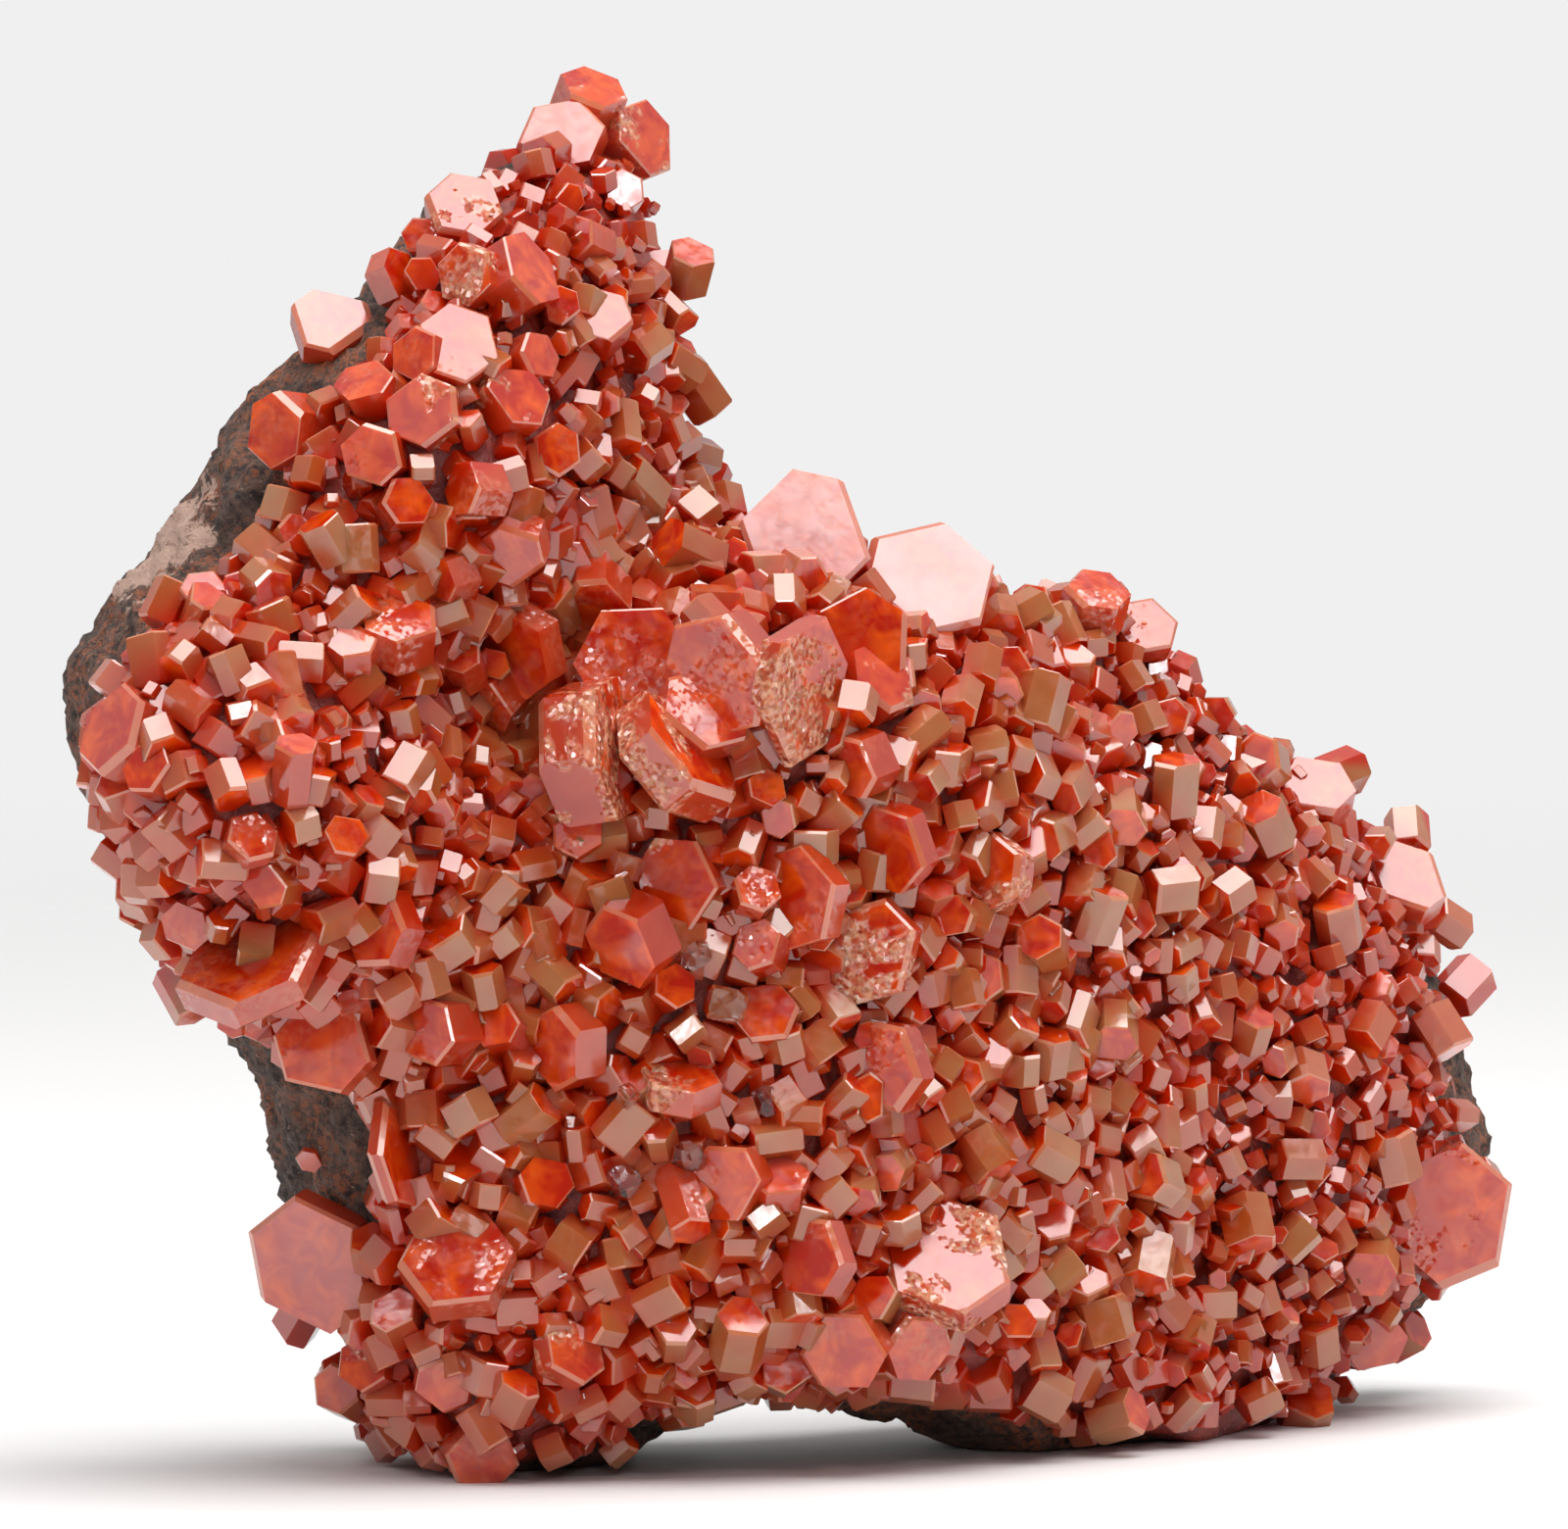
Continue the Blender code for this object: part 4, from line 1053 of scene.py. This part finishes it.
def etched_faces(tree, body):
    """Add the golden etched patches and a painted pale pink reflection on some end faces. Also returns
    the patches' mask.
    """
    patches = ramp(tree, cloud(tree, 0.42, 4.0, 0.6, 0.5), 0.5, 0.56)
    etched = maths(tree, "MULTIPLY", patches, mark(tree, "etch"), clamp=True)
    gold = maths(tree, "MULTIPLY", etched, ramp(tree, cloud(tree, 5.0, 1.0), 0.4, 0.62, 0.2, 0.9))
    body = blend_colours(tree, gold, body, EDGE_HIGHLIGHT_AND_ETCH_GOLD)
    # Painted reflection: some end faces turn pale pink
    reflection_share = maths(tree, "MULTIPLY", mark(tree, "pale"), mark(tree, "basal"))
    reflection_share = maths(tree, "MULTIPLY", reflection_share, ramp(tree, cloud(tree, 0.55), 0.35, 0.65, 0.9, 0.55))
    return blend_colours(tree, reflection_share, body, REFLECTION_PINK), etched


def glitter(tree, per_mm, share):
    """A random lean for each tiny facet, as large as the share says."""
    cells = put(tree, "ShaderNodeTexVoronoi", {"Vector": own_place(tree), "Scale": per_mm / MM})
    lean = vectors(tree, "SUBTRACT", cells.outputs["Color"], (0.5, 0.5, 0.5))
    return put(tree, "ShaderNodeVectorMath", {0: lean, "Scale": share}, operation="SCALE").outputs[0]


def crystal_zones(name, etching):
    """Colour, roughness and relief for one kind of crystal, and the etched facets' lean."""
    outputs = [("Color", "NodeSocketColor"), ("Roughness", "NodeSocketFloat"),
               ("Relief", "NodeSocketFloat")]
    if etching:
        outputs.append(("Lean", "NodeSocketVector"))
    tree, given, out = new_group(
        name,
        [("Side", "NodeSocketColor", SIDE_TAN), ("Side Deep", "NodeSocketColor", SIDE_CARAMEL),
         ("End", "NodeSocketColor", BASAL_RED), ("End Bright", "NodeSocketColor", BASAL_ORANGE)],
        outputs,
    )
    body = clean_faces(tree, given)
    rough = ramp(tree, cloud(tree, 2.5, 2.0, 0.6), 0.3, 0.75, *GLOSS)
    if etching:
        body, etched = etched_faces(tree, body)
        rough = maths(tree, "ADD", rough, maths(tree, "MULTIPLY", etched, ETCHED_ROUGHNESS))
        lean = glitter(tree, FACETS_PER_MM, maths(tree, "MULTIPLY", etched, FACET_LEAN))
        tree.links.new(lean, out.inputs["Lean"])
    relief = maths(tree, "MULTIPLY", cloud(tree, 3.0, 2.0, 0.6), WAVINESS)
    tree.links.new(body, out.inputs["Color"])
    tree.links.new(rough, out.inputs["Roughness"])
    tree.links.new(relief, out.inputs["Relief"])
    return tree


def new_material(name, **values):
    """A material with a Principled shader. Values are set on the shader's own sockets."""
    made = bpy.data.materials.new(name)
    made.use_nodes = True
    shader = made.node_tree.nodes["Principled BSDF"]
    for label, value in values.items():
        shader.inputs[label.replace("_", " ").title().replace("Ior", "IOR")].default_value = value
    return made, made.node_tree, shader


def raise_relief(tree, shader, height, strength, distance, lean=None):
    """Bump a surface by up to a distance in millimetres, its normals leaning where given."""
    relief = put(tree, "ShaderNodeBump", {
        "Height": height, "Strength": strength, "Distance": distance * MM,
    }).outputs[0]
    if lean:
        relief = vectors(tree, "NORMALIZE", vectors(tree, "ADD", relief, lean))
    tree.links.new(relief, shader.inputs["Normal"])


def crystal_material(name, zones, colours):
    """Resinous vanadinite: glassy faces over a body in which light spreads."""
    made, tree, shader = new_material(name, ior=1.95, **GLOW)
    shader.subsurface_method = "BURLEY"
    look = put(tree, "ShaderNodeGroup", colours, node_tree=zones).outputs
    tree.links.new(look["Color"], shader.inputs["Base Color"])
    tree.links.new(look["Roughness"], shader.inputs["Roughness"])
    raise_relief(tree, shader, look["Relief"], 0.9, 0.05, look.get("Lean"))
    return made


def ground_material():
    """The dark red ground that shows in the gaps between crystals."""
    made, tree, shader = new_material("crust_ground", roughness=0.35, ior=2.0)
    tint = ramp(tree, cloud(tree, 0.9, 4.0, 0.6), 0.4, 0.65)
    tree.links.new(blend_colours(tree, tint, GROUND_RED, GROUND_ORANGE), shader.inputs["Base Color"])
    raise_relief(tree, shader, cloud(tree, 4.0, 5.0, 0.65), 1.0, 0.15)
    return made


def pale_spot(tree):
    """The pink-beige patch at the top left of the rock, with a broken edge."""
    away = vectors(tree, "DISTANCE", own_place(tree), place(*PALE_SPOT) * MM, "Value")
    ragged = maths(tree, "SUBTRACT", cloud(tree, 0.9, 5.0, 0.7), 0.5)
    ragged = maths(tree, "MULTIPLY", ragged, PALE_RAGGED * MM)
    return ramp(tree, maths(tree, "ADD", away, ragged), PALE_REACH[1] * MM, PALE_REACH[0] * MM)


def rock_material():
    """Dark granular rock with rusty blotches and pinkish patches."""
    made, tree, shader = new_material("dark_rock")
    grain = cloud(tree, 2.6, 6.0, 0.78)
    body = blend_colours(tree, ramp(tree, grain, 0.42, 0.6), ROCK_DARK, ROCK_BROWN)
    rust = ramp(tree, cloud(tree, 0.25, 6.0, 0.72, 0.8), 0.44, 0.6)
    rust = maths(tree, "MULTIPLY", rust, ramp(tree, cloud(tree, 4.2, 4.0, 0.8), 0.47, 0.54))
    body = blend_colours(tree, rust, body, ROCK_RUST)
    patch = ramp(tree, cloud(tree, 0.13, 4.0, 0.6, 0.3), 0.66, 0.72)
    patch = maths(tree, "ADD", patch, pale_spot(tree))
    patch = maths(tree, "MULTIPLY", patch, ramp(tree, grain, 0.36, 0.44, 0.3, 1.0), clamp=True)
    body = blend_colours(tree, patch, body, ROCK_PINK)
    specks = ramp(tree, cloud(tree, 5.0, 2.0, 0.5), 0.68, 0.74)
    body = blend_colours(tree, maths(tree, "MULTIPLY", specks, 0.5), body, ROCK_PINK)
    tree.links.new(body, shader.inputs["Base Color"])
    tree.links.new(ramp(tree, grain, 0.3, 0.7, 0.9, 0.55), shader.inputs["Roughness"])
    relief = maths(tree, "ADD", grain, maths(tree, "MULTIPLY", cloud(tree, 7.0, 4.0, 0.7), 0.5))
    raise_relief(tree, shader, relief, 1.0, 0.2)
    return made


def grain_material():
    """Colourless glassy grain, a little clouded."""
    made, tree, shader = new_material("clear_grain", ior=1.55, transmission_weight=1.0,
                                      base_color=(0.95, 0.93, 0.92, 1.0))
    tree.links.new(ramp(tree, cloud(tree, 2.0, 3.0), 0.35, 0.7, 0.03, 0.3), shader.inputs["Roughness"])
    raise_relief(tree, shader, cloud(tree, 3.0, 3.0), 0.6, 0.03)
    return made


def studio_material():
    """Pale paper that fades out into the white surround."""
    made, tree, shader = new_material("studio_floor", roughness=0.8, base_color=PAPER_WHITE)
    far = vectors(tree, "LENGTH", own_place(tree), output="Value")
    near_edge, far_edge = FLOOR_FADE
    fade = put(tree, "ShaderNodeMapRange", {
        "Value": far, "From Min": near_edge, "From Max": far_edge, "To Min": 1.0, "To Max": 0.0,
    }, interpolation_type="SMOOTHSTEP")
    tree.links.new(fade.outputs[0], shader.inputs["Alpha"])
    return made


# The studio

def make_floor():
    bm = bmesh.new()
    bmesh.ops.create_circle(bm, cap_ends=True, segments=FLOOR_CORNERS, radius=FLOOR_RADIUS)
    floor = object_from("studio_floor", bm)
    floor.data.materials.append(studio_material())


def aim(obj, position, toward):
    """Stand a light or the camera at a place, looking in a direction."""
    obj.location = position
    obj.rotation_euler = toward.to_track_quat("-Z", "Y").to_euler()


def make_lamp(name, position, size, power, colour):
    data = bpy.data.lights.new(name, "AREA")
    data.shape = "DISK"
    data.size = size
    data.energy = power
    data.color = colour
    aim(new_object(name, data), position, Vector(LIT_POINT) - Vector(position))


def make_world():
    """White all round to look at, while the room on the viewer's side gives little light."""
    world = bpy.data.worlds.new("studio")
    bpy.context.scene.world = world
    world.use_nodes = True
    tree = world.node_tree
    toward = put(tree, "ShaderNodeSeparateXYZ", {
        0: put(tree, "ShaderNodeTexCoord").outputs["Generated"],
    })
    share = ramp(tree, toward.outputs["Y"], -0.55, 0.15)
    lighting = blend_colours(tree, share, ROOM_GREY, CARD_WHITE)
    looked_at = put(tree, "ShaderNodeLightPath").outputs["Is Camera Ray"]
    colour = blend_colours(tree, looked_at, lighting, STUDIO_WHITE)
    tree.links.new(colour, tree.nodes["Background"].inputs["Color"])


def make_camera():
    data = bpy.data.cameras.new("camera")
    data.sensor_width = SENSOR
    data.lens = SENSOR * CAMERA_DISTANCE / VIEW_WIDTH
    data.clip_start = 0.01
    data.clip_end = 20.0
    camera = new_object("camera", data)
    toward = Vector((0.0, math.cos(CAMERA_FALL), -math.sin(CAMERA_FALL)))
    aim(camera, (place(*AIM) - toward * CAMERA_DISTANCE) * MM, toward)
    bpy.context.scene.camera = camera


def make_studio():
    make_floor()
    make_world()
    for lamp in LAMPS:
        make_lamp(*lamp)
    make_camera()
    bpy.context.scene.view_settings.view_transform = "Standard"


# Assembly

def finish(obj, material, slot, *nodes):
    """Turn a piece to metres, give it its finish and set it on the part."""
    to_metres(obj)
    obj.data.materials.clear()
    obj.data.materials.append(material)
    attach(obj, "root")
    if nodes:
        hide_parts(*nodes)


def make_crust(vanadinite, large_vanadinite):
    coarse = lens("coarse_crust", CRUST_OUTLINE, crust_front, crust_back)
    crystals = all_crystals(coarse)
    ground = crust_ground(coarse, crystals)
    shapes = crystal_shapes()
    tree = scatter_tree(shapes, vanadinite)
    blocky = scattered("blocky_crystals", ground, tree, BLOCKY)
    small = scattered("small_crystals", ground, tree, SMALL)
    large, medium = [new_object(mesh.name, mesh) for mesh in crystal_meshes(crystals)]
    # Mark the painted shade near the ground, and the blush, on each piece
    for obj in (blocky, small, medium, large):
        mark_shade_and_blush(obj, ground)
    drop([coarse] + list(shapes.objects))
    bpy.data.collections.remove(shapes)
    grains = grains_object([ground, blocky, small, medium, large])
    finish(grains, grain_material(), "vanadinite")
    finish(ground, ground_material(), "vanadinite", "vanadinite_crust")
    finish(large, large_vanadinite, "vanadinite", "vanadinite_crust")
    for obj in (blocky, small, medium):
        finish(obj, vanadinite, "vanadinite", "vanadinite_crust")


def main():
    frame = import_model()
    clean = crystal_zones("clean_crystals", False)
    etched = crystal_zones("etched_crystals", True)
    rock = rough_rock(frame["nodes"]["matrix_rock"])
    ruddy = {"Side": RUDDY_SIDE, "Side Deep": RUDDY_DEEP}
    large = crystal_material("large_vanadinite", etched, ruddy)
    make_crust(crystal_material("vanadinite", clean, {}), large)
    plate = lone_plate_object()
    flake = flake_object(rock)
    finish(flake, large, "vanadinite")
    finish(rock, rock_material(), "rock", "matrix_rock")
    finish(plate, crystal_material("bright_plate", etched, ruddy), "lone_plate", "lone_plate")
    make_studio()


main()
